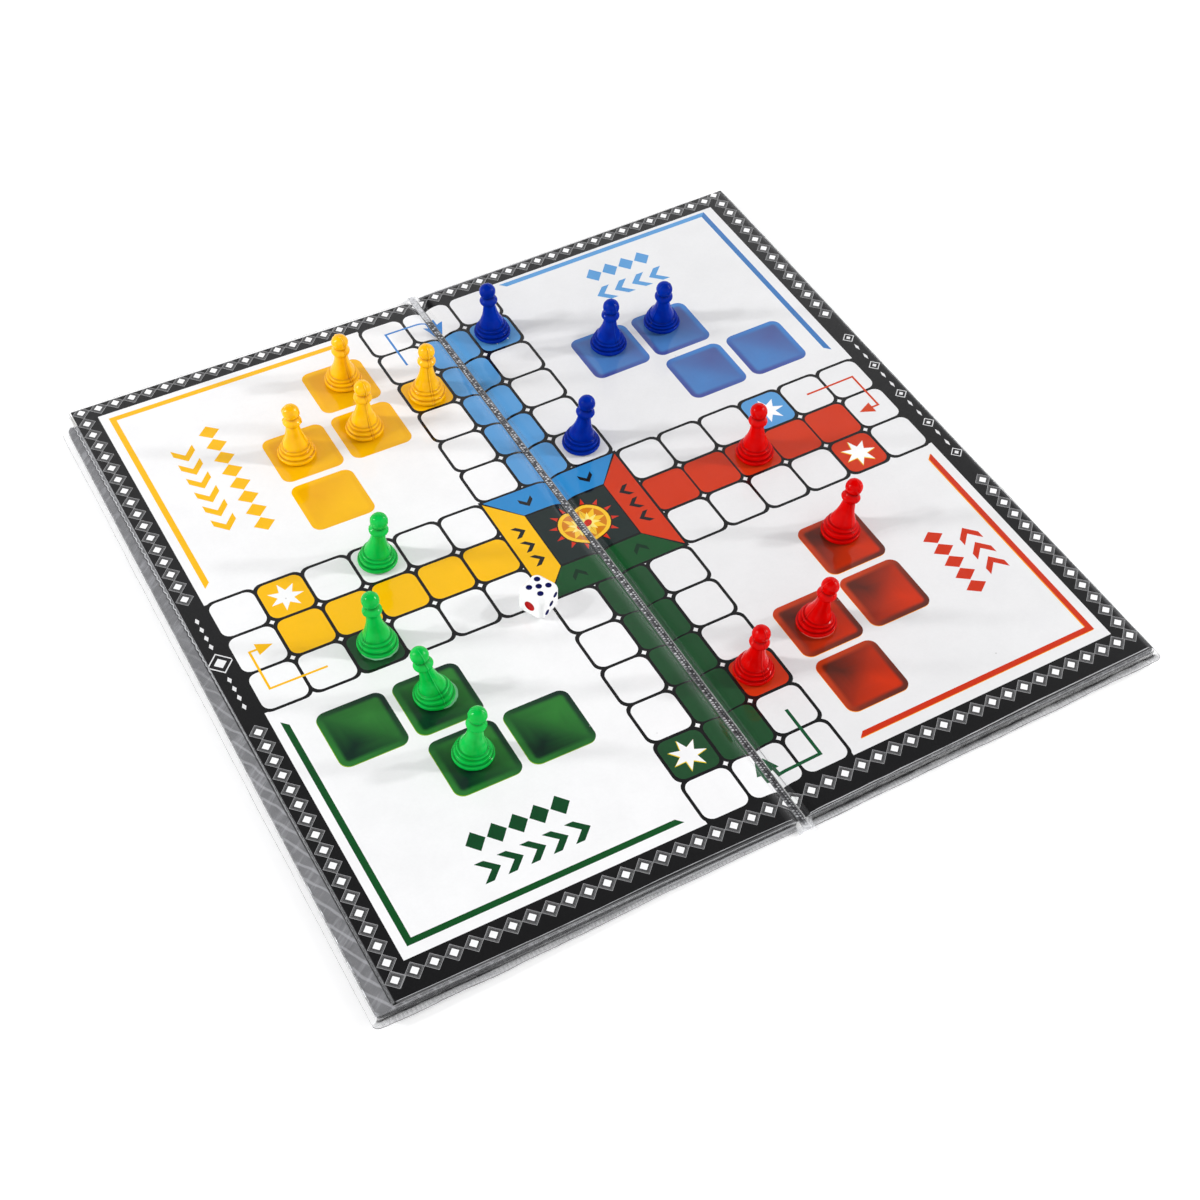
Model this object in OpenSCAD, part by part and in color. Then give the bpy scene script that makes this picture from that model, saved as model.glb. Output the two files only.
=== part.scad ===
// Folding ludo board with its sixteen pawns and one die, laid out in play.
// Two stiff board halves are sealed in clear film and joined by a welded
// film strip that works as a living hinge. X runs across the hinge, Y along
// it, Z up. The origin is the middle of the outline, on the surface below.

/* [Board] */
// Side of one track square of the printed grid
cell = 18.2; // [17.6:0.1:18.6]
// Thickness of each grey board core
core_t = 2.7; // [2.4:0.1:2.8]
// Thickness of each printed paper sheet
sheet_t = 0.2; // [0.15:0.05:0.2]
// Thickness of the clear film
film_t = 0.25; // [0.2:0.05:0.25]
// Width of the welded film border outside the board's edge
border_w = 2.6; // [1.5:0.1:4]
// Rise of each half towards its outer edge, in degrees
lift = 0.92; // [0:0.02:1.5]

/* [Left half] */
// Outer edge of the left core, in squares from the grid's middle
core_l_out = 8.28; // [8.1:0.01:8.4]
// Outer edge of the left printed sheets, in squares
sheet_l_out = 8.0; // [7.9:0.01:8.08]
// Front edge of the left core, in squares
core_l_front = 8.25; // [8.2:0.01:8.3]
// Back edge of the left core, in squares
core_l_back = 7.46; // [7.3:0.01:7.9]
// Front edge of the printed sheets, in squares
sheet_front = 8.15; // [8:0.01:8.2]
// Back edge of the printed sheets, in squares
sheet_back = 7.93; // [7.91:0.01:8.1]

/* [Hinge strip] */
// Distance between the two crease lines
crease_w = 4; // [3.8:0.1:4.6]
// Width of the ribbed weld between the creases
weld_w = 2.2; // [2:0.1:3.3]
// Thickness of the ribbed weld
weld_t = 0.6; // [0.4:0.05:0.6]
// Height of the creases above the underside
crease_z = 1.8; // [1.7:0.05:1.8]
// Distance from each crease to the board half's inner wall
crease_gap = 0.45; // [0.45:0.05:0.6]
// Radius of the bead along each crease
bead_r = 0.2; // [0.15:0.01:0.2]

/* [Pawns] */
// Height of a pawn
pawn_h = 25.1; // [24:0.1:27]
// Radius of a pawn's foot
pawn_r = 7.4; // [7:0.05:7.6]
// Radius of a pawn's head
head_r = 3.25; // [3:0.05:3.4]

/* [Die] */
// Edge length of the die
die_a = 11; // [10:0.1:12]
// Radius of a blue pip
pip_r = 1.1; // [0.7:0.05:1.1]
// Radius of the single red pip
red_pip_r = 2; // [1:0.05:2.2]
// Turn of the die on the board, in degrees
die_turn = 26.6; // [0:0.1:90]

/* [Hidden] */
$fn = 64;

board_t = core_t + 2 * sheet_t + 2 * film_t;
crease_x = crease_w / 2;
wall_x = crease_x + crease_gap;      // outer face of the inner film wall
core_x = wall_x + film_t;            // inner edge of the cores
grid_dx = 0.0888 * cell;             // the printed grid parts by this much at the seam
grid_dy = 0.46;                      // the right half's print sits a little further back
slack = 0.05;                        // between a core's edge and the film round it

// outer edges, counted from the seam (x) and from the grid's middle (y)
cl_out = core_l_out * cell + grid_dx;
sl_out = sheet_l_out * cell + grid_dx;
cl_front = -core_l_front * cell;
cl_back = core_l_back * cell;
sh_front = -sheet_front * cell;
sh_back = sheet_back * cell;
r_out = 7.98 * cell + grid_dx;
r_front = sh_front + grid_dy;
r_back = sh_back + grid_dy;

film_l_out = cl_out + slack + film_t;
film_r_out = r_out + slack + film_t;
film_front = cl_front - slack - film_t;
film_back = r_back + slack + film_t;

// the frame's shift, so that the origin is the middle of the outline
shift_x = (film_l_out - film_r_out) / 2;
shift_y = -(film_front + film_back) / 2;
shift_z = -(crease_z - crease_z * cos(lift) + crease_gap * sin(lift));

// heights above the underside
z_sheet_lo = film_t;
z_core = z_sheet_lo + sheet_t;
z_sheet_hi = z_core + core_t;
z_film = z_sheet_hi + sheet_t;
top_z = board_t + 0.02;              // where the pieces stand

// side is -1 for the left half and 1 for the right
module in_frame() { translate([shift_x, shift_y, shift_z]) children(); }
module on_half(side) {
    in_frame()
        translate([side * crease_x, 0, crease_z]) rotate([0, -side * lift, 0])
            translate([-side * crease_x, 0, -crease_z]) children();
}

module rounded(x0, y0, x1, y1, r) {
    translate([x0 + r, y0]) square([x1 - x0 - 2 * r, y1 - y0]);
    translate([x0, y0 + r]) square([x1 - x0, y1 - y0 - 2 * r]);
    for (x = [x0 + r, x1 - r], y = [y0 + r, y1 - r]) translate([x, y]) circle(r);
}

// outline of the left film's walls, grown outwards by g, with corner radius r;
// it steps in at the back, where the core stops short of the print
module left_outline(g, r) {
    rounded(-film_l_out - g, film_front - g, -wall_x, cl_back + slack + film_t + g, r);
    rounded(-sl_out - slack - film_t - g, film_front - g, -wall_x, sh_back + slack + film_t + g, r);
    // square inner edge along the seam
    translate([-wall_x - 2 * r - 1, film_front - g]) square([2 * r + 1, sh_back + slack + film_t + 2 * g - film_front]);
}
module left_inside() {
    translate([-cl_out - slack, cl_front - slack]) square([cl_out + slack - core_x, cl_back - cl_front + 2 * slack]);
    translate([-sl_out - slack, cl_front - slack]) square([sl_out + slack - core_x, sh_back - cl_front + 2 * slack]);
}
module right_outline(g, r) {
    rounded(wall_x, r_front - slack - film_t - g, film_r_out + g, r_back + slack + film_t + g, r);
    translate([wall_x, r_front - slack - film_t - g]) square([2 * r + 1, r_back - r_front + 2 * slack + 2 * film_t + 2 * g]);
}
module right_inside() {
    translate([core_x, r_front - slack]) square([r_out + slack - core_x, r_back - r_front + 2 * slack]);
}

module plate(x0, y0, x1, y1, z0, h) { translate([x0, y0, z0]) cube([x1 - x0, y1 - y0, h]); }

// cores and printed sheets
module core_left() {
    color([0.47, 0.47, 0.49]) on_half(-1) plate(-cl_out, cl_front, -core_x, cl_back, z_core, core_t);
}
module ludo_sheet_left() {
    color([0.96, 0.76, 0.1]) on_half(-1) plate(-sl_out, sh_front, -core_x, sh_back, z_sheet_hi, sheet_t);
}
module back_sheet_left() {
    color([0.93, 0.93, 0.9]) on_half(-1) plate(-sl_out, sh_front, -core_x, sh_back, z_sheet_lo, sheet_t);
}
module core_right() {
    color([0.47, 0.47, 0.49]) on_half(1) plate(core_x, r_front, r_out, r_back, z_core, core_t);
}
module ludo_sheet_right() {
    color([0.29, 0.56, 0.85]) on_half(1) plate(core_x, r_front, r_out, r_back, z_sheet_hi, sheet_t);
}
module back_sheet_right() {
    color([0.93, 0.93, 0.9]) on_half(1) plate(core_x, r_front, r_out, r_back, z_sheet_lo, sheet_t);
}

// clear film: the upper sheet with its four walls, and the lip that runs to the crease
module lip(side, y0, y1) {
    a = crease_x + bead_r + 0.03;
    plate(side > 0 ? a : -wall_x - 0.1, y0, side > 0 ? wall_x + 0.1 : -a, y1, crease_z - 0.15, 0.3);
}
module top_film_left() {
    color([0.8, 0.85, 0.9, 0.35]) on_half(-1) {
        difference() {
            translate([0, 0, film_t]) linear_extrude(board_t - film_t) left_outline(0, 0.5);
            translate([0, 0, film_t - 1]) linear_extrude(z_film - film_t + 1) left_inside();
        }
        lip(-1, film_front, sh_back);
    }
}
module top_film_right() {
    color([0.8, 0.85, 0.9, 0.35]) on_half(1) {
        difference() {
            translate([0, 0, film_t]) linear_extrude(board_t - film_t) right_outline(0, 0.5);
            translate([0, 0, film_t - 1]) linear_extrude(z_film - film_t + 1) right_inside();
        }
        lip(1, r_front, r_back);
    }
}
// clear film: the lower sheet, with the welded border round it
module bottom_film_left() {
    color([0.75, 0.8, 0.85, 0.35]) on_half(-1) {
        linear_extrude(film_t) left_outline(border_w, 3);
        translate([0, 0, film_t]) linear_extrude(film_t) difference() {
            left_outline(border_w, 3);
            left_outline(0, 0.5);
            translate([-wall_x - 4, film_front - 50]) square([10, 500]);
        }
    }
}
module bottom_film_right() {
    color([0.75, 0.8, 0.85, 0.35]) on_half(1) {
        linear_extrude(film_t) right_outline(border_w, 3);
        translate([0, 0, film_t]) linear_extrude(film_t) difference() {
            right_outline(border_w, 3);
            right_outline(0, 0.5);
            translate([wall_x - 6, film_front - 50]) square([10, 500]);
        }
    }
}

// the welded strip between the halves, with a bead along each crease
module hinge_strip() {
    y0 = film_front - border_w;
    y1 = film_back + border_w;
    color([0.7, 0.71, 0.73]) in_frame() {
        plate(-weld_w / 2, y0, weld_w / 2, y1, crease_z - weld_t / 2, weld_t);
        plate(-crease_x, y0, crease_x, y1, crease_z - 0.15, 0.3);
        for (s = [-1, 1]) translate([s * crease_x, y0, crease_z]) rotate([-90, 0, 0]) cylinder(r = bead_r, h = y1 - y0);
    }
}

// A pawn: stepped foot, tapering stem, collar and round head. The stem sets
// off from the foot at a small slant, because such pawns come out bent.
foot_top = 4;
module foot() {
    k = pawn_r / 7.4;
    rotate_extrude() polygon([[0, 0], [6.8 * k, 0], [7.25 * k, 0.5], [7.4 * k, 1.2], [7.1 * k, 2], [6.65 * k, 2.4],
        [6.4 * k, 3.6], [5.9 * k, foot_top], [0, foot_top]]);
}
module stem() {
    k = pawn_r / 7.4;
    hz = pawn_h - head_r;
    rotate_extrude() polygon([[0, 2.2], [5.2 * k, 2.2], [5.7 * k, 3.9], [5.65 * k, 5.1], [5.1 * k, 5.5], [4.75 * k, 6.7],
        [3.65 * k, 9.1], [3 * k, 11.3], [2.4, hz - 7.2], [2.33, hz - 5.8], [3.4, hz - 5.4], [3.65, hz - 4.6],
        [3.4, hz - 3.8], [2.75, hz - 3.1], [2.2, hz - 2], [0, hz - 1.5]]);
    translate([0, 0, hz]) sphere(head_r);
}
// x, y on the half's print, slant of the stem towards +x and +y in degrees
module pawn(side, x, y, sx, sy) {
    on_half(side) translate([x, y, top_z]) {
        foot();
        translate([0, 0, 3.6]) rotate([-sy, sx, 0]) translate([0, 0, -3.6]) stem();
    }
}
module yellow(x, y, sx, sy) { color([0.97, 0.73, 0.02]) pawn(-1, x, y, sx, sy); }
module green(x, y, sx, sy) { color([0.1, 0.75, 0.28]) pawn(-1, x, y, sx, sy); }
module blue(x, y, sx, sy) { color([0.02, 0.08, 0.68]) pawn(1, x, y, sx, sy); }
module red(x, y, sx, sy) { color([0.87, 0.03, 0.03]) pawn(1, x, y, sx, sy); }

module pawn_yellow_1() { yellow(-46, 112.1, -2.7, -5.4); }
module pawn_yellow_2() { yellow(-78.5, 82.8, -2.1, 0); }
module pawn_yellow_3() { yellow(-50.1, 83.2, 0, -2); }
module pawn_yellow_4() { yellow(-20.1, 90, 1.2, 0.5); }
module pawn_green_1() { green(-74.6, 18.7, 2.7, -5.2); }
module pawn_green_2() { green(-91.5, -17.4, -2.3, 5.4); }
module pawn_green_3() { green(-84.1, -47.1, -12, 6.2); }
module pawn_green_4() { green(-83.7, -75.9, 4.3, -3.9); }
module pawn_blue_1() { blue(19, 110.4, -3.3, 1.8); }
module pawn_blue_2() { blue(56.5, 81.4, -0.5, -6.8); }
module pawn_blue_3() { blue(81.8, 82.4, -5, -12); }
module pawn_blue_4() { blue(19.9, 37.6, 5.4, -4.5); }
module pawn_red_1() { red(75.3, 0.8, 1.3, 0.6); }
module pawn_red_2() { red(81.6, -48.7, 11.8, 0.6); }
module pawn_red_3() { red(49.4, -81.6, 6.3, -8.1); }
module pawn_red_4() { red(18.5, -89.2, 1.6, -5.4); }

// The die. Opposite faces add up to seven; only the one is red.
die_x = -33.6;
die_y = -28.05;
pip_g = 0.445 * die_a / 2;           // pip spacing from a face's middle
pip_d = 0.3;                         // depth of the pip hollows
ink_t = 0.12;
function pips(n) = concat(
    n % 2 == 1 ? [[0, 0]] : [],
    n > 1 ? [[-1, -1], [1, 1]] : [],
    n > 3 ? [[-1, 1], [1, -1]] : [],
    n == 6 ? [[-1, 0], [1, 0]] : []);
// turns that bring the face holding n to the top face's place
face_turn = [[0, -90, 0], [180, 0, 0], [90, 0, 0], [-90, 0, 0], [0, 0, 0], [0, 90, 0]];
module on_die() { on_half(-1) translate([die_x, die_y, top_z + die_a / 2]) rotate([0, 0, die_turn]) children(); }
// round marks of radius r from depth d0 to d1 below face n
module marks(n, r, d0, d1) {
    rotate(face_turn[n - 1]) for (q = pips(n))
        translate([q[0] * pip_g, q[1] * pip_g, die_a / 2 - d1]) cylinder(r = r, h = d1 - d0, $fn = 32);
}
module die_body() {
    color([0.96, 0.96, 0.95]) on_die() difference() {
        intersection() {
            cube(die_a, center = true);
            sphere(r = 0.71 * die_a);
        }
        marks(1, red_pip_r, -1, pip_d);
        for (n = [2:6]) marks(n, pip_r, -1, pip_d);
    }
}
module die_pips_blue() {
    color([0.05, 0.08, 0.3]) on_die() for (n = [2:6]) marks(n, pip_r, pip_d - ink_t, pip_d);
}
module die_pip_red() {
    color([0.8, 0.08, 0.08]) on_die() marks(1, red_pip_r, pip_d - ink_t, pip_d);
}

core_left();
ludo_sheet_left();
back_sheet_left();
top_film_left();
bottom_film_left();
core_right();
ludo_sheet_right();
back_sheet_right();
top_film_right();
bottom_film_right();
hinge_strip();
pawn_yellow_1();
pawn_yellow_2();
pawn_yellow_3();
pawn_yellow_4();
pawn_green_1();
pawn_green_2();
pawn_green_3();
pawn_green_4();
pawn_blue_1();
pawn_blue_2();
pawn_blue_3();
pawn_blue_4();
pawn_red_1();
pawn_red_2();
pawn_red_3();
pawn_red_4();
die_body();
die_pips_blue();
die_pip_red();
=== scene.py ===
# Folding ludo board with its pawns and die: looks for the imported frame.
import bpy
import bmesh
import math
import random
from mathutils import Vector, Matrix, noise
from mathutils.geometry import delaunay_2d_cdt


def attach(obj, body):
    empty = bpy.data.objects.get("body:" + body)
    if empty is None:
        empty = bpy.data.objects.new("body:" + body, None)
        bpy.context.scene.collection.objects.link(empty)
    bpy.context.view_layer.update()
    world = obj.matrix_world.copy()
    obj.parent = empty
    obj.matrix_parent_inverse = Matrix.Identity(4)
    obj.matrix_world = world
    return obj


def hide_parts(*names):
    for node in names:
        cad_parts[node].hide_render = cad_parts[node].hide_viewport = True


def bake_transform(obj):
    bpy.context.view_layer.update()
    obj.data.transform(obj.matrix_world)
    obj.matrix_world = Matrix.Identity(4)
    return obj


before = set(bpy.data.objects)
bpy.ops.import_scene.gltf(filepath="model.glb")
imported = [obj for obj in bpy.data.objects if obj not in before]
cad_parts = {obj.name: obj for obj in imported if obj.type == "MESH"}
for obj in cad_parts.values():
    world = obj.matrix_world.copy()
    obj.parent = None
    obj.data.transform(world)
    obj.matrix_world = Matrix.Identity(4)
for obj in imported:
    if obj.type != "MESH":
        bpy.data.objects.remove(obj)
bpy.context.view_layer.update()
scene = bpy.context.scene

# ---------------------------------------------------------------- sizes, in mm, as in the construction
CELL = 18.2
LIFT = math.radians(0.92)
CREASE_X, CREASE_Z = 2.0, 1.8
FILM, SHEET, CORE = 0.25, 0.2, 2.7
BOARD_T = 2 * FILM + 2 * SHEET + CORE
BORDER = 2.6
GRID_DX, GRID_DY = 0.0888 * CELL, 0.46
SLACK = 0.05
CL_OUT = 8.28 * CELL + GRID_DX
SL_OUT = 8.0 * CELL + GRID_DX
CL_FRONT, CL_BACK = -8.25 * CELL, 7.46 * CELL
SH_FRONT, SH_BACK = -8.15 * CELL, 7.93 * CELL
R_OUT = 7.98 * CELL + GRID_DX
R_FRONT, R_BACK = SH_FRONT + GRID_DY, SH_BACK + GRID_DY
FILM_L_OUT = CL_OUT + SLACK + FILM
FILM_R_OUT = R_OUT + SLACK + FILM
FILM_FRONT = CL_FRONT - SLACK - FILM
FILM_BACK = R_BACK + SLACK + FILM
SHIFT = Vector(((FILM_L_OUT - FILM_R_OUT) / 2, -(FILM_FRONT + FILM_BACK) / 2,
                -(CREASE_Z - CREASE_Z * math.cos(LIFT) + 0.45 * math.sin(LIFT))))
TOP = BOARD_T + 0.02
MM = 0.001


def half_matrix(side):
    """Half-local mm (side -1 left, 1 right, 0 the strip) to the row frame in metres."""
    m = Matrix.Translation(SHIFT)
    if side:
        m = m @ Matrix.Translation((side * CREASE_X, 0, CREASE_Z)) @ Matrix.Rotation(-side * LIFT, 4, "Y") \
            @ Matrix.Translation((-side * CREASE_X, 0, -CREASE_Z))
    return Matrix.Scale(MM, 4) @ m


HALF = {-1: half_matrix(-1), 0: half_matrix(0), 1: half_matrix(1)}
BODY = {-1: "left_half", 0: "hinge_strip", 1: "right_half"}
TAG = {-1: "left", 1: "right"}


def smooth(t):
    t = min(1.0, max(0.0, t))
    return t * t * (3 - 2 * t)


# the print runs down into the valley at the seam
PRINT_IN = 2.25          # where the halves' films begin, from the seam's middle
SHEET_IN = 1.4           # inner edge of the print
VALLEY, VALLEY_W = 1.0, 4.2


def dip(x, y):
    """How far the top surface has come down at distance |x| from the seam's middle; less so at the front."""
    d = abs(x) - PRINT_IN
    if d >= VALLEY_W:
        return 0.0
    d = max(d, -0.9)
    k = 0.55 + 0.45 * min(1.0, max(0.0, (y + 160) / 320))
    return VALLEY * k * (1 - d / VALLEY_W) ** 2.3


def line_at(table, t):
    """Straight lines between (t, value) pairs."""
    if t <= table[0][0]:
        return table[0][1]
    for (a, u), (b, v) in zip(table, table[1:]):
        if t <= b:
            return u + (v - u) * (t - a) / (b - a)
    return table[-1][1]


# the right half's outer edge, in mm beyond its straight line, along the half
RIGHT_EDGE = ((-149.0, 0.18), (-100.0, 0.16), (-36.0, -0.07), (36.0, 0.29), (95.0, 0.98), (145.0, 1.18))


def skew(side, x, y):
    """The boards aren't quite square: the left core's outer edge and the left front edge run askew, the right edge is wavy."""
    if side < 0:
        k = smooth((-x - SL_OUT - 0.4) / 4.2)
        dy = 0.85 * smooth((x + 135) / 125) * smooth((-y - 135) / 10)
        return x + (0.25 + 0.010 * y) * k, y + dy
    return x + line_at(RIGHT_EDGE, y) * smooth((x - R_OUT + 10) / 8), y


# ---------------------------------------------------------------- colours
def lin(h, k=1.0):
    """sRGB hex to linear."""
    out = []
    for i in (0, 2, 4):
        c = int(h[i:i + 2], 16) / 255
        out.append(k * (c / 12.92 if c <= 0.04045 else ((c + 0.055) / 1.055) ** 2.4))
    return tuple(out)


# ---------------------------------------------------------------- materials
def new_mat(name):
    m = bpy.data.materials.new(name)
    m.use_nodes = True
    nt = m.node_tree
    b = nt.nodes["Principled BSDF"]
    return m, nt, b


def node(nt, kind, **kw):
    n = nt.nodes.new(kind)
    for k, v in kw.items():
        if k.startswith("in_"):
            n.inputs[k[3:].replace("_", " ")].default_value = v
        else:
            setattr(n, k, v)
    return n


def mapping(nt, scale=(1, 1, 1), rot=(0, 0, 0)):
    tc = node(nt, "ShaderNodeTexCoord")
    mp = node(nt, "ShaderNodeMapping")
    mp.inputs["Scale"].default_value = scale
    mp.inputs["Rotation"].default_value = rot
    nt.links.new(tc.outputs["Object"], mp.inputs["Vector"])
    return mp.outputs["Vector"]


def noise_tex(nt, vec, scale, detail=3.0, rough=0.5, distortion=0.0):
    n = node(nt, "ShaderNodeTexNoise")
    n.inputs["Scale"].default_value = scale
    n.inputs["Detail"].default_value = detail
    n.inputs["Roughness"].default_value = rough
    n.inputs["Distortion"].default_value = distortion
    nt.links.new(vec, n.inputs["Vector"])
    return n.outputs["Fac"]


def ramp(nt, fac, stops):
    r = node(nt, "ShaderNodeValToRGB")
    e = r.color_ramp.elements
    while len(e) < len(stops):
        e.new(0.5)
    for el, (p, c) in zip(e, stops):
        el.position = p
        el.color = (c, c, c, 1) if isinstance(c, (int, float)) else (*c, 1)
    nt.links.new(fac, r.inputs["Fac"])
    return r.outputs["Color"]


def mix(nt, a, b, fac, kind="MIX"):
    m = node(nt, "ShaderNodeMix", data_type="RGBA", blend_type=kind)
    for key, v in ((6, a), (7, b), (0, fac)):
        if isinstance(v, (int, float)):
            m.inputs[key].default_value = v if key == 0 else (v, v, v, 1)
        elif isinstance(v, tuple):
            m.inputs[key].default_value = (*v, 1)
        else:
            nt.links.new(v, m.inputs[key])
    return m.outputs[2]


def bump(nt, height, strength, dist=0.0001, normal=None):
    b = node(nt, "ShaderNodeBump")
    b.inputs["Strength"].default_value = strength
    b.inputs["Distance"].default_value = dist
    nt.links.new(height, b.inputs["Height"])
    if normal is not None:
        nt.links.new(normal, b.inputs["Normal"])
    return b.outputs["Normal"]


def mat_print():
    """Printed paper under glossy film: the ink is a colour attribute."""
    m, nt, b = new_mat("printed_sheet")
    ink = node(nt, "ShaderNodeAttribute", attribute_name="ink")
    vec = mapping(nt)
    cloud = ramp(nt, noise_tex(nt, vec, 55, 5, 0.6), [(0.35, 0.965), (0.62, 1.0)])
    fibre = ramp(nt, noise_tex(nt, vec, 900, 4, 0.7), [(0.3, 0.975), (0.7, 1.0)])
    c = mix(nt, ink.outputs["Color"], cloud, 1.0, "MULTIPLY")
    c = mix(nt, c, fibre, 1.0, "MULTIPLY")
    # grey specks of dust under the film
    vo = node(nt, "ShaderNodeTexVoronoi", feature="F1")
    vo.inputs["Scale"].default_value = 150
    nt.links.new(vec, vo.inputs["Vector"])
    near = ramp(nt, vo.outputs["Distance"], [(0.035, 1.0), (0.06, 0.0)])
    pick = ramp(nt, vo.outputs["Color"], [(0.84, 0.0), (0.86, 1.0)])
    speck = mix(nt, near, pick, 1.0, "MULTIPLY")
    c = mix(nt, c, (0.35, 0.34, 0.33), mix(nt, speck, 0.55, 1.0, "MULTIPLY"))
    nt.links.new(c, b.inputs["Base Color"])
    b.inputs["Roughness"].default_value = 0.8
    b.inputs["Specular IOR Level"].default_value = 0.0
    gl = node(nt, "ShaderNodeAttribute", attribute_name="glaze")
    nt.links.new(gl.outputs["Fac"], b.inputs["Coat Weight"])
    b.inputs["Coat Roughness"].default_value = 0.02
    b.inputs["Coat IOR"].default_value = 1.45
    wave = bump(nt, noise_tex(nt, vec, 28, 3, 0.5), 0.14, 0.0006)
    fine = bump(nt, noise_tex(nt, vec, 420, 2, 0.5), 0.04, 0.0001, wave)
    nt.links.new(fine, b.inputs["Coat Normal"])
    return m


def mat_chipboard():
    """Grey recycled board seen through the film, with pale fibres; its lighter slanted streaks and arcs are painted
    highlights of the film's wrinkles.
    """
    m, nt, b = new_mat("chipboard")
    vec = mapping(nt)
    base = ramp(nt, noise_tex(nt, vec, 160, 6, 0.7), [(0.3, lin("4c4c4f")), (0.7, lin("666669"))])
    # lighter slanted streaks: painted highlights of the film's wrinkles
    st = mapping(nt, (1, 1, 1), (0, 0, math.radians(-38)))
    mp2 = node(nt, "ShaderNodeMapping")
    mp2.inputs["Scale"].default_value = (55, 420, 60)
    nt.links.new(st, mp2.inputs["Vector"])
    streak = ramp(nt, noise_tex(nt, mp2.outputs["Vector"], 1.0, 3, 0.6, 0.6), [(0.52, 0.0), (0.68, 1.0)])
    c = mix(nt, base, lin("9c9ca1"), mix(nt, streak, 0.5, 1.0, "MULTIPLY"))
    # painted highlights of the film's wrinkles: light arcs across the bare strip, in its front half
    arc = node(nt, "ShaderNodeTexWave", wave_type="BANDS", bands_direction="Y")
    arc.inputs["Scale"].default_value = 74
    arc.inputs["Distortion"].default_value = 2.5
    arc.inputs["Detail"].default_value = 1.0
    arc.inputs["Detail Scale"].default_value = 1.5
    nt.links.new(mapping(nt, (1, 1, 1), (0, 0, math.radians(62))), arc.inputs["Vector"])
    sep = node(nt, "ShaderNodeSeparateXYZ")
    nt.links.new(vec, sep.inputs[0])
    fr = node(nt, "ShaderNodeMapRange")
    for key, v in (("From Min", 0.03), ("From Max", -0.03), ("To Min", 0.0), ("To Max", 0.55)):
        fr.inputs[key].default_value = v
    nt.links.new(sep.outputs["Y"], fr.inputs["Value"])
    c = mix(nt, c, lin("a8a8ac"), mix(nt, ramp(nt, arc.outputs["Fac"], [(0.80, 0.0), (0.97, 1.0)]), fr.outputs["Result"], 1.0, "MULTIPLY"))
    nt.links.new(c, b.inputs["Base Color"])
    b.inputs["Roughness"].default_value = 0.7
    b.inputs["Coat Weight"].default_value = 0.6
    b.inputs["Coat Roughness"].default_value = 0.12
    nt.links.new(bump(nt, noise_tex(nt, vec, 700, 4, 0.6), 0.4, 0.0002), b.inputs["Normal"])
    return m


def mat_plastic(name, dark, light, rough=0.2, sss=0.0, sss_rgb=(1, 0.3, 0.2), spec=0.3, uneven=0.25, shade_rgb=None, pale=None):
    m, nt, b = new_mat(name)
    vec = mapping(nt)
    c = mix(nt, dark, light, ramp(nt, noise_tex(nt, vec, 230, 3, 0.5), [(0.3, 0.0), (0.7, 1.0)]))
    if shade_rgb:
        # painted shade in the mould's grooves and under the foot, painted highlight along its parting line
        at = node(nt, "ShaderNodeAttribute", attribute_name="shade_sheen_tone")
        c = mix(nt, c, shade_rgb, ramp(nt, at.outputs["Fac"], [(0.14, 1.0), (0.48, 0.0)]))
        c = mix(nt, c, pale, ramp(nt, at.outputs["Fac"], [(0.52, 0.0), (0.75, 0.8)]))
    nt.links.new(c, b.inputs["Base Color"])
    b.inputs["Roughness"].default_value = rough
    b.inputs["IOR"].default_value = 1.5
    b.inputs["Specular IOR Level"].default_value = spec
    if sss:
        b.inputs["Subsurface Weight"].default_value = sss
        b.inputs["Subsurface Radius"].default_value = sss_rgb
        b.inputs["Subsurface Scale"].default_value = 0.003
    soft = bump(nt, noise_tex(nt, vec, 330, 2, 0.5), uneven, 0.0006)
    nt.links.new(bump(nt, noise_tex(nt, vec, 900, 3, 0.55), 0.12, 0.0001, soft), b.inputs["Normal"])
    return m


def mat_film(name, alpha, rgb=(0.75, 0.77, 0.8), rough=0.08, streak=0.0):
    m, nt, b = new_mat(name)
    vec = mapping(nt)
    nt.links.new(mix(nt, tuple(0.88 * v for v in rgb), rgb, noise_tex(nt, vec, 300, 3, 0.6)), b.inputs["Base Color"])
    b.inputs["Roughness"].default_value = rough
    b.inputs["IOR"].default_value = 1.5
    b.inputs["Specular IOR Level"].default_value = 0.8
    if streak:
        fac = noise_tex(nt, vec, 240, 4, 0.6, 0.8)
        a = ramp(nt, fac, [(0.4, alpha), (0.66, alpha + streak)])
        nt.links.new(a, b.inputs["Alpha"])
    else:
        b.inputs["Alpha"].default_value = alpha
    nt.links.new(bump(nt, noise_tex(nt, vec, 160, 3, 0.55), 0.35, 0.0004), b.inputs["Normal"])
    return m


def mat_weld():
    """Ribbed silvery weld: painted shade in the hollows, painted highlights on the crests."""
    m, nt, b = new_mat("ribbed_weld")
    vec = mapping(nt)
    fac = noise_tex(nt, vec, 900, 4, 0.65)
    h = node(nt, "ShaderNodeAttribute", attribute_name="crest")
    c = ramp(nt, h.outputs["Fac"], [(0.08, lin("262629")), (0.45, lin("77787b")), (0.8, lin("e6e7ea"))])
    c = mix(nt, c, ramp(nt, fac, [(0.38, 0.6), (0.60, 1.0)]), 1.0, "MULTIPLY")
    nt.links.new(c, b.inputs["Base Color"])
    b.inputs["Metallic"].default_value = 0.2
    b.inputs["Roughness"].default_value = 0.25
    nt.links.new(bump(nt, noise_tex(nt, vec, 1500, 3, 0.6), 0.5, 0.0002), b.inputs["Normal"])
    return m


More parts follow.
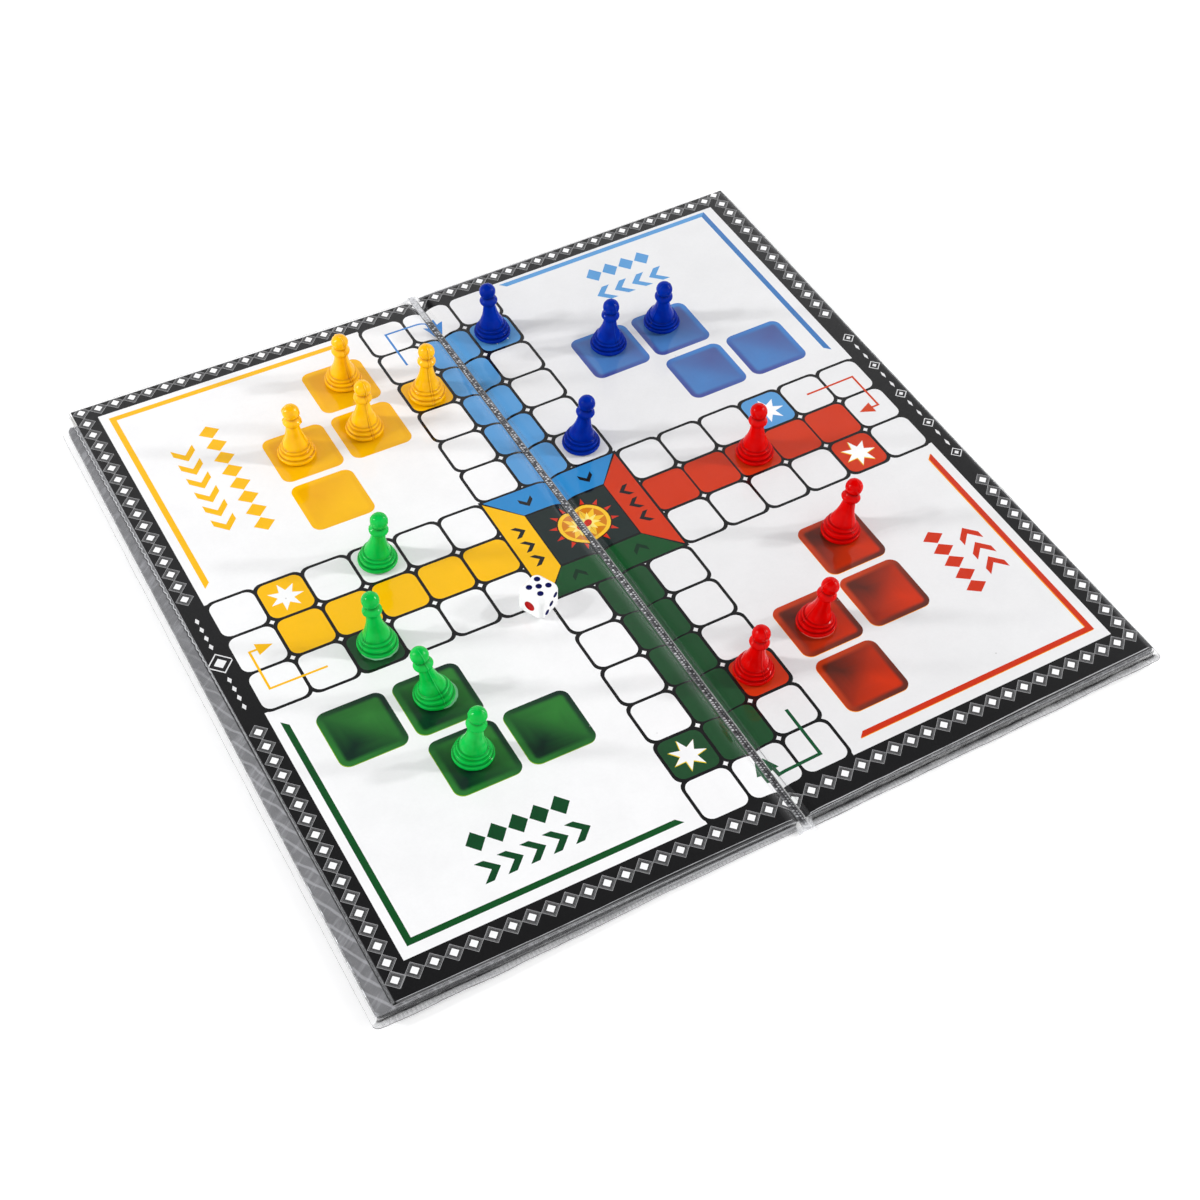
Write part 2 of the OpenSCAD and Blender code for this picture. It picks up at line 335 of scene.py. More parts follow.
def mat_haze_film():
    """Clear film: hardly seen over the print; its alpha attribute gives milkiness at walls, welds and folds and painted
    highlight lines and glints, and the shade attribute gives painted shade in grooves and along dark lines.
    """
    m, nt, b = new_mat("clear_film")
    vec = mapping(nt)
    pale = mix(nt, (0.72, 0.73, 0.75), (0.88, 0.89, 0.91), noise_tex(nt, vec, 260, 3, 0.6))
    sh = node(nt, "ShaderNodeAttribute", attribute_name="shade")
    nt.links.new(mix(nt, pale, (0.012, 0.012, 0.013), sh.outputs["Fac"]), b.inputs["Base Color"])
    b.inputs["Roughness"].default_value = 0.12
    b.inputs["IOR"].default_value = 1.5
    b.inputs["Specular IOR Level"].default_value = 0.5
    hz_glint = node(nt, "ShaderNodeAttribute", attribute_name="haze_glint")
    mp2 = node(nt, "ShaderNodeMapping")
    mp2.inputs["Rotation"].default_value = (0, 0, math.radians(-38))
    mp2.inputs["Scale"].default_value = (90, 520, 300)
    tc = node(nt, "ShaderNodeTexCoord")
    nt.links.new(tc.outputs["Object"], mp2.inputs["Vector"])
    st = ramp(nt, noise_tex(nt, mp2.outputs["Vector"], 1.0, 3, 0.6, 0.7), [(0.38, 0.75), (0.66, 1.12)])
    nt.links.new(mix(nt, hz_glint.outputs["Fac"], st, 1.0, "MULTIPLY"), b.inputs["Alpha"])
    nt.links.new(bump(nt, noise_tex(nt, vec, 150, 3, 0.55), 0.3, 0.0004), b.inputs["Normal"])
    return m


def mat_back():
    """Plain off-white paper of the underside."""
    m, nt, b = new_mat("back_paper")
    ink = node(nt, "ShaderNodeAttribute", attribute_name="ink")
    vec = mapping(nt)
    c = mix(nt, ink.outputs["Color"], ramp(nt, noise_tex(nt, vec, 300, 5, 0.65), [(0.3, 0.94), (0.7, 1.0)]), 1.0, "MULTIPLY")
    nt.links.new(c, b.inputs["Base Color"])
    b.inputs["Roughness"].default_value = 0.7
    b.inputs["Coat Weight"].default_value = 0.6
    b.inputs["Coat Roughness"].default_value = 0.1
    nt.links.new(bump(nt, noise_tex(nt, vec, 900, 3, 0.6), 0.2, 0.0001), b.inputs["Normal"])
    return m


MAT = {
    "print": mat_print(),
    "film": mat_haze_film(),
    "back": mat_back(),
    "chip": mat_chipboard(),
    "yellow": mat_plastic("pawn_yellow", lin("f2ae00"), lin("fcc000"), 0.16, spec=0.26, uneven=0.3, shade_rgb=lin("b06200"), pale=lin("ffe060")),
    "green": mat_plastic("pawn_green", lin("00b03a"), lin("0ac04c"), 0.13, spec=0.16, uneven=0.22, shade_rgb=lin("00501c"), pale=lin("4fe08a")),
    "blue": mat_plastic("pawn_blue", lin("001f88"), lin("002ca0"), 0.13, spec=0.06, uneven=0.22, shade_rgb=lin("000838"), pale=lin("2c5cd0")),
    "red": mat_plastic("pawn_red", lin("c60000"), lin("d60000"), 0.13, spec=0.08, uneven=0.22, shade_rgb=lin("600000"), pale=lin("ff3a30")),
    "flash_green": mat_film("pawn_green_flash", 0.45, (0.35, 0.85, 0.5), 0.15),
    "flash_red": mat_film("pawn_red_flash", 0.5, (0.9, 0.2, 0.15), 0.15),
    "die": mat_plastic("die_white", lin("f2f2f2"), lin("fbfbfb"), 0.2, uneven=0.05),
    "pip_blue": mat_plastic("pip_blue", lin("060a48"), lin("0a1058"), 0.3, spec=0.1),
    "pip_red": mat_plastic("pip_red", lin("a60a0a"), lin("ba1010"), 0.3, spec=0.1),
    "weld": mat_weld(),
}


# ---------------------------------------------------------------- mesh helper
def make(name, verts, faces, mats, matrix, mat_ids=None, smooth_all=False, sharp=None):
    """verts in mm under matrix; the object's own origin stays at the row origin."""
    me = bpy.data.meshes.new(name)
    me.from_pydata([matrix @ Vector(v) for v in verts], [], faces)
    for m in mats:
        me.materials.append(m)
    if mat_ids:
        me.polygons.foreach_set("material_index", mat_ids)
    me.validate(clean_customdata=False)
    if smooth_all:
        me.polygons.foreach_set("use_smooth", [True] * len(me.polygons))
    if sharp is not None:
        me.set_sharp_from_angle(angle=math.radians(sharp))
    me.update()
    ob = bpy.data.objects.new(name, me)
    scene.collection.objects.link(ob)
    return ob


def loop_order(faces, n):
    """The outer boundary of a triangulated patch as a list of vertex numbers, counter-clockwise."""
    nxt = {}
    seen = set()
    for f in faces:
        for a, b in zip(f, f[1:] + f[:1]):
            seen.add((a, b))
    for a, b in seen:
        if (b, a) not in seen:
            nxt[a] = b
    start = min(nxt)
    out, v = [start], nxt[start]
    while v != start:
        out.append(v)
        v = nxt[v]
    return out


# ---------------------------------------------------------------- the print
# paper white of each half; the right half's is darker, painted shade for the light falling off across the board
PAPER_WHITE_LIT_SHADED = {-1: (0.915, 0.915, 0.92), 1: (0.80, 0.80, 0.806)}
BLACK = (0.0088, 0.0088, 0.0094)
GREY = (0.20, 0.20, 0.205)
YEL, YEL_D = (0.93, 0.50, 0.002), (0.72, 0.29, 0.001)
BLU, BLU_H = (0.10, 0.32, 0.64), (0.03, 0.24, 0.565)
RED = (0.59, 0.036, 0.007)
GRN, GRN_H = (0.016, 0.070, 0.026), (0.009, 0.072, 0.020)
GRN_L = (0.005, 0.075, 0.016)


class Art:
    """Polygons in one half's own millimetres, later ones on top."""

    def __init__(self, side):
        self.side = side
        self.polys, self.inks, self.extra = [], [], []

    def at(self, X, Y):
        return (CELL * X + self.side * GRID_DX, CELL * Y + (GRID_DY if self.side > 0 else 0.0))

    def poly(self, pts, ink, grid=True):
        p = [self.at(*q) for q in pts] if grid else [tuple(q) for q in pts]
        area = sum(a[0] * b[1] - b[0] * a[1] for a, b in zip(p, p[1:] + p[:1]))
        if area < 0:
            p.reverse()
        lo = SHEET_IN if self.side > 0 else -1e9
        hi = 1e9 if self.side > 0 else -SHEET_IN
        if max(q[0] for q in p) < lo or min(q[0] for q in p) > hi:
            return
        self.polys.append(p)
        self.inks.append(ink)

    def rounded(self, cx, cy, w, h, r, ink, n=5):
        pts = []
        for k, (sx, sy) in enumerate(((1, 1), (-1, 1), (-1, -1), (1, -1))):
            for i in range(n + 1):
                a = math.radians(90 * k + 90 * i / n)
                pts.append((cx + sx * (w / 2 - r) + r * math.cos(a), cy + sy * (h / 2 - r) + r * math.sin(a)))
        self.poly(pts, ink)

    def rhomb(self, cx, cy, rx, ry, ink):
        self.poly([(cx + rx, cy), (cx, cy + ry), (cx - rx, cy), (cx, cy - ry)], ink)

    def ring_rhomb(self, cx, cy, r, w, ink, inside):
        self.rhomb(cx, cy, r, r, ink)
        self.rhomb(cx, cy, r - w, r - w, inside)

    def disc(self, cx, cy, r, ink, n=20):
        self.poly([(cx + r * math.cos(2 * math.pi * i / n), cy + r * math.sin(2 * math.pi * i / n)) for i in range(n)], ink)

    def star(self, cx, cy, ro, ri, n, a0, ink):
        pts = []
        for i in range(2 * n):
            a = math.radians(a0) + math.pi * i / n
            r = ro if i % 2 == 0 else ri
            pts.append((cx + r * math.cos(a), cy + r * math.sin(a)))
        self.poly(pts, ink)

    def line(self, pts, w, ink):
        for i, ((x0, y0), (x1, y1)) in enumerate(zip(pts, pts[1:])):
            d = math.hypot(x1 - x0, y1 - y0)
            ux, uy = (x1 - x0) / d, (y1 - y0) / d
            e0 = w / 2 if i > 0 else 0
            e1 = w / 2 if i < len(pts) - 2 else 0
            a, b = (x0 - ux * e0, y0 - uy * e0), (x1 + ux * e1, y1 + uy * e1)
            nx, ny = -uy * w / 2, ux * w / 2
            self.poly([(a[0] + nx, a[1] + ny), (b[0] + nx, b[1] + ny), (b[0] - nx, b[1] - ny), (a[0] - nx, a[1] - ny)], ink)


def box_depth(x, y, w, h, r):
    """How far inside a rounded rectangle a point is."""
    qx, qy = abs(x) - (w / 2 - r), abs(y) - (h / 2 - r)
    d = math.hypot(max(qx, 0), max(qy, 0)) + min(max(qx, qy), 0) - r
    return -d


def mixc(a, b, t):
    return tuple(p + (q - p) * t for p, q in zip(a, b))


PAD, PAD_R = 1.38, 0.2
PAD_INK = {
    # inner dark, inner bright, rim light, rim dark, axis towards the inner bright corner, sliver of another ink at the edge
    "yellow": (mixc(YEL, YEL_D, 0.5), YEL, mixc(YEL, YEL_D, 0.08), mixc(YEL, YEL_D, 0.22), (1, -1), None),
    "green": ((0.004, 0.024, 0.014), (0.030, 0.19, 0.032), (0.026, 0.18, 0.030), (0.009, 0.029, 0.019), (1, 1), (0.30, 0.50, 0.01)),
    "blue": ((0.073, 0.110, 0.31), (0.070, 0.207, 0.50), (0.055, 0.21, 0.54), (0.060, 0.080, 0.30), (-1, -1), None),
    "red": ((0.10, 0.018, 0.010), (0.57, 0.030, 0.004), (0.50, 0.045, 0.010), (0.11, 0.022, 0.014), (1, -1), (0.90, 0.30, 0.01)),
}


def pad(art, cx, cy, name):
    dark, bright, rim_l, rim_d, ax, sliver = PAD_INK[name]
    if sliver:
        art.rounded(cx - 0.012, cy - 0.014, PAD, PAD, PAD_R, sliver, 6)
    ox, oy = art.at(cx, cy)

    def shade(x, y):
        u, v = (x - ox) / CELL, (y - oy) / CELL
        t = 0.5 + (u * ax[0] + v * ax[1]) / 1.16          # 0 at the far corner, 1 at the bright one
        inner = mixc(dark, bright, smooth(t * 1.05))
        rim = mixc(rim_l, rim_d, smooth(t * 1.3 - 0.15))
        k = smooth((box_depth(u, v, PAD, PAD, PAD_R) - 0.075) / 0.085)
        return mixc(rim, inner, k)

    for inset in (0, 0.04, 0.075, 0.10, 0.125, 0.16, 0.23, 0.32, 0.42, 0.53):
        s = PAD - 2 * inset
        art.rounded(cx, cy, s, s, max(0.04, PAD_R - 0.55 * inset), shade, 6)


ST, CR = 0.066, 0.205     # stroke round a track square, outer corner radius


def square(art, cx, cy):
    art.rounded(cx, cy, 1 + ST, 1 + ST, CR, BLACK)


def square_fill(art, cx, cy, ink, run=None):
    """run: the square belongs to a home column along x or y, whose squares are parted by a thin line only."""
    w = 1 - (0.042 if run == "x" else ST)
    h = 1 - (0.036 if run == "y" else ST)
    art.rounded(cx, cy, w, h, 0.185 if run is None else 0.16, ink)


def chevron(art, cx, cy, ang, size, ink):
    """A thick V that points along ang."""
    c, s = math.cos(math.radians(ang)), math.sin(math.radians(ang))
    pts = [(0.5, 0), (-0.02, 0.5), (-0.42, 0.5), (0.1, 0), (-0.42, -0.5), (-0.02, -0.5)]
    art.poly([(cx + size * (x * c - y * s), cy + size * (x * s + y * c)) for x, y in pts], ink)


def lozenge_row(art, p0, p1, n, h, ink, kind):
    """n plain marks from p0 to p1, each h high."""
    dx, dy = p1[0] - p0[0], p1[1] - p0[1]
    length = math.hypot(dx, dy)
    step = length / n
    ang = math.degrees(math.atan2(dy, dx))
    ux, uy = dx / length, dy / length
    for i in range(n):
        x, y = p0[0] + ux * step * (i + 0.5), p0[1] + uy * step * (i + 0.5)
        if kind == "rhomb":
            w = step * 0.47
            art.poly([(x + ux * w, y + uy * w), (x - uy * h / 2, y + ux * h / 2),
                      (x - ux * w, y - uy * w), (x + uy * h / 2, y - ux * h / 2)], ink)
        elif kind == "chevron":
            chevron(art, x, y, ang, h, ink)
        else:
            w = step * 0.30
            art.poly([(x + ux * w - uy * h / 2, y + uy * w + ux * h / 2), (x - ux * w - uy * h / 2, y - uy * w + ux * h / 2),
                      (x - ux * w + uy * h / 2, y - uy * w - ux * h / 2), (x + ux * w + uy * h / 2, y + uy * w - ux * h / 2)], ink)


def border_mark(art, x, y):
    """White rhomb in three thin grey rhombic outlines."""
    for r, w, g in ((0.190, 0.0145, 0.36), (0.160, 0.012, 0.24), (0.131, 0.011, 0.15)):
        art.ring_rhomb(x, y, r, w, (g, g, g * 1.02), (0.014, 0.014, 0.015))
    art.rhomb(x, y, 0.094, 0.094, (0.93, 0.93, 0.935))


def draw(side):
    art = Art(side)
    L = side < 0
    # sheet and its black frame
    if L:
        out = [(-8.025, -8.20), (None, -8.20), (None, 7.875), (-7.965, 7.885)]
    else:
        out = [(None, -8.215), (3.3, -8.19), (7.988, -8.165), (7.984, -5.5), (7.97, -2), (7.99, 2), (8.028, 5.2), (8.038, 7.925),
               (6.7, 7.915), (3, 7.875), (None, 7.85)]
    pts = []
    for X, Y in out:
        if X is None:
            pts.append((side * SHEET_IN, art.at(0, Y)[1]))
        else:
            pts.append(art.at(X, Y))
    art.poly(pts, BLACK, grid=False)
    inner = [(-7.5, -7.5), (0.2, -7.5), (0.2, 7.5), (-7.5, 7.5)] if L else [(-0.2, -7.5), (7.5, -7.5), (7.5, 7.5), (-0.2, 7.5)]
    white = PAPER_WHITE_LIT_SHADED[-1 if L else 1]
    art.poly(inner, white)
    # the frame closes the notches at the ends of the track
    x0, x1 = (-1.5, 0.2) if L else (-0.2, 1.5)
    for s in (-1, 1):
        art.poly([(x0, s * 7.43), (x1, s * 7.43), (x1, s * 7.51), (x0, s * 7.51)], BLACK)
    s = -1 if L else 1
    art.poly([(s * 7.43, -1.5), (s * 7.51, -1.5), (s * 7.51, 1.5), (s * 7.43, 1.5)], BLACK)

    # chains of rhombs along the frame
    if L:
        for k in range(17):
            border_mark(art, -7.771, -7.77 + 0.3694 * k)
        for k in range(17):
            border_mark(art, -7.771, 1.83 + 0.3713 * k)
        for k in range(22):
            border_mark(art, -7.79 + 0.372 * k, -7.754 if k else -7.77)
        for k in range(1, 22):
            border_mark(art, -7.77 + 0.372 * k, 7.755)
    else:
        for k in range(14):
            border_mark(art, 7.80, -7.70 + 0.3685 * k)
        for k in range(14):
            border_mark(art, 7.80, 3.01 + 0.3722 * k)
        for k in range(-1, 20):
            x = 0.385 + 0.3727 * k
            border_mark(art, x, -7.733 - 0.062 * max(0.0, 1 - x / 2.6))
        for k in range(-1, 20):
            border_mark(art, 0.38 + 0.374 * k, 7.76)
    # plain ornament in the gaps of the side chains
    if L:
        x = -7.771
        art.ring_rhomb(x, 0, 0.27, 0.035, (0.80, 0.80, 0.81), (0.012, 0.012, 0.013))
        art.rhomb(x, 0, 0.13, 0.13, (0.85, 0.85, 0.86))
        for s in (-1, 1):
            for k in range(4):
                art.rhomb(x, s * (0.46 + 0.24 * k), 0.045, 0.085, (0.80, 0.80, 0.81))
    else:
        x = 7.80
        for k in range(-6, 7):
            if k % 3 == 0:
                art.ring_rhomb(x, 0.05 + 0.34 * k, 0.15, 0.028, (0.72, 0.72, 0.73), (0.012, 0.012, 0.013))
                art.rhomb(x, 0.05 + 0.34 * k, 0.055, 0.055, (0.80, 0.80, 0.81))
            else:
                art.rhomb(x, 0.05 + 0.34 * k, 0.035, 0.11, (0.76, 0.76, 0.77))

    # track: strokes first, then the fills, so that the notches between squares stay open
    cells = {}
    for k in range(2, 8):
        for j in (-1, 0, 1):
            if L:
                cells[(-k, j)] = white
            else:
                cells[(k, j)] = white
            cells[(j, k)] = white
            cells[(j, -k)] = white
    runs = {}
    for k in range(2, 7):
        runs.update({(k, 0): "x", (0, -k): "y"})
        if L:
            cells[(-k, 0)] = YEL
        else:
            cells[(k, 0)] = RED
        cells[(0, k)] = BLU
        cells[(0, -k)] = GRN
    marks = []
    for (c, ink, starred) in (((-6, 1), YEL, 1), ((-1, -6), GRN, 1), ((6, -1), RED, 1), ((1, 6), BLU, 1),
                              ((-5, -1), GRN, 0), ((-1, 5), YEL, 0), ((5, 1), BLU, 1), ((1, -5), RED, 0)):
        if c in cells:
            cells[c] = ink
            if starred:
                marks.append(c)
    cells = {c: i for c, i in cells.items() if (c[0] <= 0 if L else c[0] >= 0)}
    for c, ink in cells.items():
        square(art, c[0], c[1])
    for c, ink in cells.items():
        square_fill(art, c[0], c[1], ink, runs.get(c))
    # the home square
    h, a, b = 1.5, 0.845, 0.775
    art.poly([(-h - 0.034, -h - 0.034), (h + 0.034, -h - 0.034), (h + 0.034, h + 0.034), (-h - 0.034, h + 0.034)], BLACK)
    g = 0.022
    art.poly([(-h + g, h - 2.4 * g), (-h + g, -h + 2.4 * g), (-a, -b), (-a, b)], YEL)
    art.poly([(h - g, h - 2.4 * g), (h - g, -h + 2.4 * g), (a, -b), (a, b)], RED)
    art.poly([(-h + 2.4 * g, h - g), (h - 2.4 * g, h - g), (a, b + g), (-a, b + g)], BLU_H)
    art.poly([(-h + 2.4 * g, -h + g), (h - 2.4 * g, -h + g), (a, -b - g), (-a, -b - g)], GRN_H)
    dk = (0.014, 0.014, 0.015)
    for k in (-1, 0, 1):
        chevron(art, -1.16, 0.42 * k, 0, 0.30, dk)
        chevron(art, 1.16, 0.42 * k, 180, 0.30, dk)
        if k:
            chevron(art, 0.62 * k, 1.13, 270, 0.30, dk)
            chevron(art, 0.62 * k, -1.13, 90, 0.30, (0.0045, 0.028, 0.012))
    # rosette of the middle: gold rays and petals round a red ring
    gold, amber = (0.90, 0.55, 0.03), (0.62, 0.20, 0.01)
    art.poly([(-a + 0.03, -b + 0.03), (a - 0.03, -b + 0.03), (a - 0.03, b - 0.03), (-a + 0.03, b - 0.03)], (0.015, 0.024, 0.023))
    art.star(0.05, 0.02, 0.66, 0.36, 12, 15, (0.62, 0.03, 0.012))
    art.disc(0.05, 0.02, 0.50, (0.05, 0.01, 0.006), 28)
    art.disc(0.05, 0.02, 0.47, gold, 28)
    art.disc(0.05, 0.02, 0.39, amber, 28)
    art.star(0.05, 0.02, 0.40, 0.20, 8, 0, gold)
    art.star(0.05, 0.02, 0.27, 0.12, 8, 22.5, (0.95, 0.78, 0.22))
    art.disc(0.05, 0.02, 0.085, (0.62, 0.03, 0.012), 16)

    # stars on the start squares and the blue rest square
    for c in marks:
        if c not in cells:
            continue
        if cells[c] in (GRN, RED):
            art.star(c[0] - 0.012, c[1] - 0.012, 0.385, 0.175, 7, 97, (0.85, 0.62, 0.02))
        art.star(c[0], c[1], 0.365, 0.165, 7, 97, (0.93, 0.93, 0.935))

    # corner frames of the four yards, cut at a slant
    def corner(x, y, ex, ey, w, ink):
        sx, sy = (1 if x < 0 else -1), (1 if y < 0 else -1)
        art.poly([(x, y), (ex, y), (ex - sx * w, y + sy * w), (x + sx * w, y + sy * w), (x + sx * w, ey - sy * w), (x, ey)], ink)
    if L:
        corner(-7.316, 7.35, -1.78, 1.90, 0.13, YEL)
        corner(-7.327, -7.275, -1.84, -1.83, 0.13, GRN_L)
        for p in ((-2.54, 6.05), (-4.10, 4.53), (-2.54, 4.52), (-4.10, 3.0)):
            pad(art, *p, "yellow")
        for p in ((-6.05, -2.68), (-4.50, -2.68), (-4.50, -4.24), (-2.96, -4.24)):
            pad(art, *p, "green")
        lozenge_row(art, (-5.60, 6.21), (-5.60, 2.80), 8, 0.46, YEL, "rhomb")
        lozenge_row(art, (-6.295, 5.84), (-6.295, 3.17), 6, 0.48, YEL, "chevron")
        dg = (0.005, 0.062, 0.018)
        lozenge_row(art, (-5.55, -5.90), (-3.42, -5.90), 5, 0.46, dg, "rhomb")
        lozenge_row(art, (-5.62, -6.555), (-3.37, -6.555), 5, 0.46, dg, "chevron")
    else:
        corner(7.26, 7.42, 1.83, 1.95, 0.13, BLU)
        art.poly([(7.26, 7.42), (7.26, 1.95), (7.13, 2.08), (7.13, 7.29)], (0.045, 0.18, 0.46))
        art_red = (0.58, 0.030, 0.006)
        corner(7.295 - 0.02, -7.24 - 0.015, 1.83, -1.76, 0.13, (0.90, 0.35, 0.01))
        corner(7.295, -7.24, 1.83, -1.76, 0.125, art_red)
        for p in ((2.96, 4.26), (4.49, 4.26), (4.49, 2.71), (6.03, 2.71)):
            pad(art, *p, "blue")
        for p in ((4.26, -2.95), (2.68, -4.49), (4.26, -4.48), (2.69, -6.01)):
            pad(art, *p, "red")
        lozenge_row(art, (5.35, 6.68), (3.68, 6.68), 4, 0.46, BLU, "rhomb")
        lozenge_row(art, (5.41, 6.005), (3.61, 6.005), 4, 0.46, BLU, "chevron")
        lozenge_row(art, (5.945, -5.41), (5.945, -3.56), 5, 0.48, art_red, "rhomb")
        lozenge_row(art, (6.62, -5.15), (6.62, -3.82), 3, 0.46, art_red, "chevron")

    # paths with an arrow into each home run
    def head(x, y, dx, dy, ink):
        art.poly([(x + 0.33 * dx, y + 0.33 * dy), (x - 0.155 * dy, y + 0.155 * dx), (x + 0.155 * dy, y - 0.155 * dx)], ink)
    w = 0.05
    if L:
        art.line([(-6.0, -1.0), (-7.18, -1.0), (-7.18, 0.0), (-7.0, 0.0)], w, YEL)
        head(-7.03, 0.0, 1, 0, YEL)
    else:
        art.line([(6.0, 1.0), (7.17, 1.0), (7.17, 0.0), (7.0, 0.0)], w, (0.60, 0.05, 0.008))
        head(7.02, 0.0, -1, 0, (0.60, 0.05, 0.008))
    art.line([(-0.99, 6.0), (-0.99, 7.12), (0.0, 7.12), (0.0, 6.9)], w, (0.05, 0.23, 0.60))
    head(0.0, 6.95, 0, -1, (0.05, 0.23, 0.60))
    gl = (0.008, 0.080, 0.028)
    if L:
        art.line([(0.98, -7.19), (-0.02, -7.19), (-0.03, -7.0)], 0.07, gl)
    else:
        art.line([(0.98, -6.0), (0.98, -7.17), (0.07, -7.19), (0.055, -7.0)], 0.07, gl)
    head(0.0, -7.04, 0, 1, gl)
    return art


def patch(polys, lines, base):
    """Triangulates polygons and lines; keeps what lies in polygon base. Gives points, triangles and each one's topmost polygon."""
    co, edges, faces = [], [], []
    for p in polys:
        s = len(co)
        co += [Vector(q) for q in p]
        turn = sum(a[0] * b[1] - b[0] * a[1] for a, b in zip(p, p[1:] + p[:1]))
        ids = list(range(s, s + len(p)))
        faces.append(ids if turn > 0 else ids[::-1])
    for a, b in lines:
        s = len(co)
        co += [Vector(a), Vector(b)]
        edges.append((s, s + 1))
    v, _, f, _, _, of = delaunay_2d_cdt(co, edges, faces, 1, 1e-4, True)
    tri, top = [], []
    for face, src in zip(f, of):
        if base in src:
            tri.append(list(face))
            top.append(max(src))
    used = sorted({i for t in tri for i in t})
    new = {i: k for k, i in enumerate(used)}
    pts = [(v[i][0], v[i][1]) for i in used]
    tri = [[new[i] for i in t] for t in tri]
    for t in tri:
        a, b, c = (pts[i] for i in t[:3])
        if (b[0] - a[0]) * (c[1] - a[1]) - (b[1] - a[1]) * (c[0] - a[0]) < 0:
            t.reverse()
    return pts, tri, top


BEND = [0.0, 0.35, 0.75, 1.2, 1.75, 2.4, 3.2, 4.2]


def locate(pts, ring):
    """Vertex number of each ring point."""
    out = []
    for x, y in ring:
        best = min(range(len(pts)), key=lambda i: (pts[i][0] - x) ** 2 + (pts[i][1] - y) ** 2)
        if math.hypot(pts[best][0] - x, pts[best][1] - y) > 0.02:
            print("no vertex at", x, y)
        out.append(best)
    return out


def bend_lines(side, y0, y1, first=0):
    return [((side * (PRINT_IN + d), y0), (side * (PRINT_IN + d), y1)) for d in ([-0.3] if first == 0 else []) + BEND[first:]]


def build_print(side):
    art = draw(side)
    ys = [q[1] for q in art.polys[0]]
    lines = bend_lines(side, min(ys) - 1, max(ys) + 1)
    pts, tri, top = patch(art.polys, lines, 0)
    z_hi = FILM + SHEET + CORE + SHEET
    verts = [(x, y, z_hi - dip(x, y)) for x, y in pts]
    loop = loop_order(tri, len(pts))
    ring = [pts[i] for i in loop]
    bpts, btri, _ = patch([ring], bend_lines(side, min(ys) - 1, max(ys) + 1), 0)
    # the underside shares the outline's points
    near = {(round(x, 4), round(y, 4)): i for i, (x, y) in zip(loop, ring)}
    low, n = {}, len(verts)
    for k, (x, y) in enumerate(bpts):
        low[k] = n + k
    verts += [(x, y, z_hi - SHEET - dip(x, y)) for x, y in bpts]
    faces = list(tri)
    faces += [[low[i] for i in reversed(t)] for t in btri]
    bl = loop_order(btri, len(bpts))
    key = {(round(bpts[i][0], 3), round(bpts[i][1], 3)): low[i] for i in bl}
    missing = 0
    under = []
    for i in loop:
        k = (round(pts[i][0], 3), round(pts[i][1], 3))
        if k not in key:
            missing += 1
            d = [(abs(pts[i][0] - bpts[j][0]) + abs(pts[i][1] - bpts[j][1]), low[j]) for j in bl]
            under.append(min(d)[1])
        else:
            under.append(key[k])
    for a in range(len(loop)):
        b = (a + 1) % len(loop)
        q = [loop[b], loop[a], under[a], under[b]]
        if under[a] == under[b]:
            q = q[:3]
        faces.append(q)
    ob = make("print_" + TAG[side], verts, faces, [MAT["print"]], HALF[side])
    att = ob.data.color_attributes.new("ink", "FLOAT_COLOR", "CORNER")
    cols = []
    for f, t in zip(tri, top):
        ink = art.inks[t]
        for i in f:
            c = ink(*pts[i]) if callable(ink) else ink
            cols += [*c, 1.0]
    rest = sum(len(f) for f in faces[len(tri):])
    cols += [0.75, 0.75, 0.74, 1.0] * rest
    att.data.foreach_set("color", cols)
    # where the print dives to the seam the film stands off it
    bare = lambda y: 0.2 if side < 0 else 0.2 + 3.2 * smooth((y + 95) / 110)
    glaze = [0.12 + 0.88 * smooth((abs(v[0]) - PRINT_IN - bare(v[1]) + 0.5) / 0.6) for v in verts]
    ob.data.attributes.new("glaze", "FLOAT", "POINT").data.foreach_set("value", glaze)
    print("print", TAG[side], "polygons", len(art.polys), "triangles", len(tri), "missing", missing)
    return ob


for side in (-1, 1):
    ob = build_print(side)
    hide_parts("ludo_sheet_" + TAG[side])
    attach(ob, BODY[side])

# ---------------------------------------------------------------- cores and underside sheets
def put(ob, body, slot_name, *nodes):
    if nodes:
        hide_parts(*nodes)
    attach(ob, body)
    return ob


def slab(name, xs, ys, zt, zb, mats, matrix, warp=None):
    """A closed solid with a regular grid above and below."""
    nx, ny = len(xs), len(ys)
    verts, faces = [], []
    for z in (zt, zb):
        for y in ys:
            for x in xs:
                px, py = warp(x, y) if warp else (x, y)
                verts.append((px, py, z(x, y)))
    n = nx * ny
    for j in range(ny - 1):
        for i in range(nx - 1):
            a = j * nx + i
            faces.append([a, a + 1, a + nx + 1, a + nx])
            faces.append([n + a, n + a + nx, n + a + nx + 1, n + a + 1])
    rim = [i for i in range(nx)] + [j * nx + nx - 1 for j in range(1, ny)] \
        + [(ny - 1) * nx + i for i in range(nx - 2, -1, -1)] + [j * nx for j in range(ny - 2, 0, -1)]
    for a, b in zip(rim, rim[1:] + rim[:1]):
        faces.append([b, a, n + a, n + b])
    return make(name, verts, faces, mats, matrix, smooth_all=True, sharp=40)


def steps(a, b, d):
    n = max(1, round(abs(b - a) / d))
    return [a + (b - a) * i / n for i in range(n + 1)]


def edge_steps(a, b, d, fine=(0.0, 0.15, 0.4, 0.8)):
    """Grid lines from a to b (a < b), close together near both ends."""
    return [a + f for f in fine] + steps(a + 1.6, b - 1.6, d) + [b - f for f in reversed(fine)]


Z_CORE, Z_CORE_HI = FILM + SHEET, FILM + SHEET + CORE


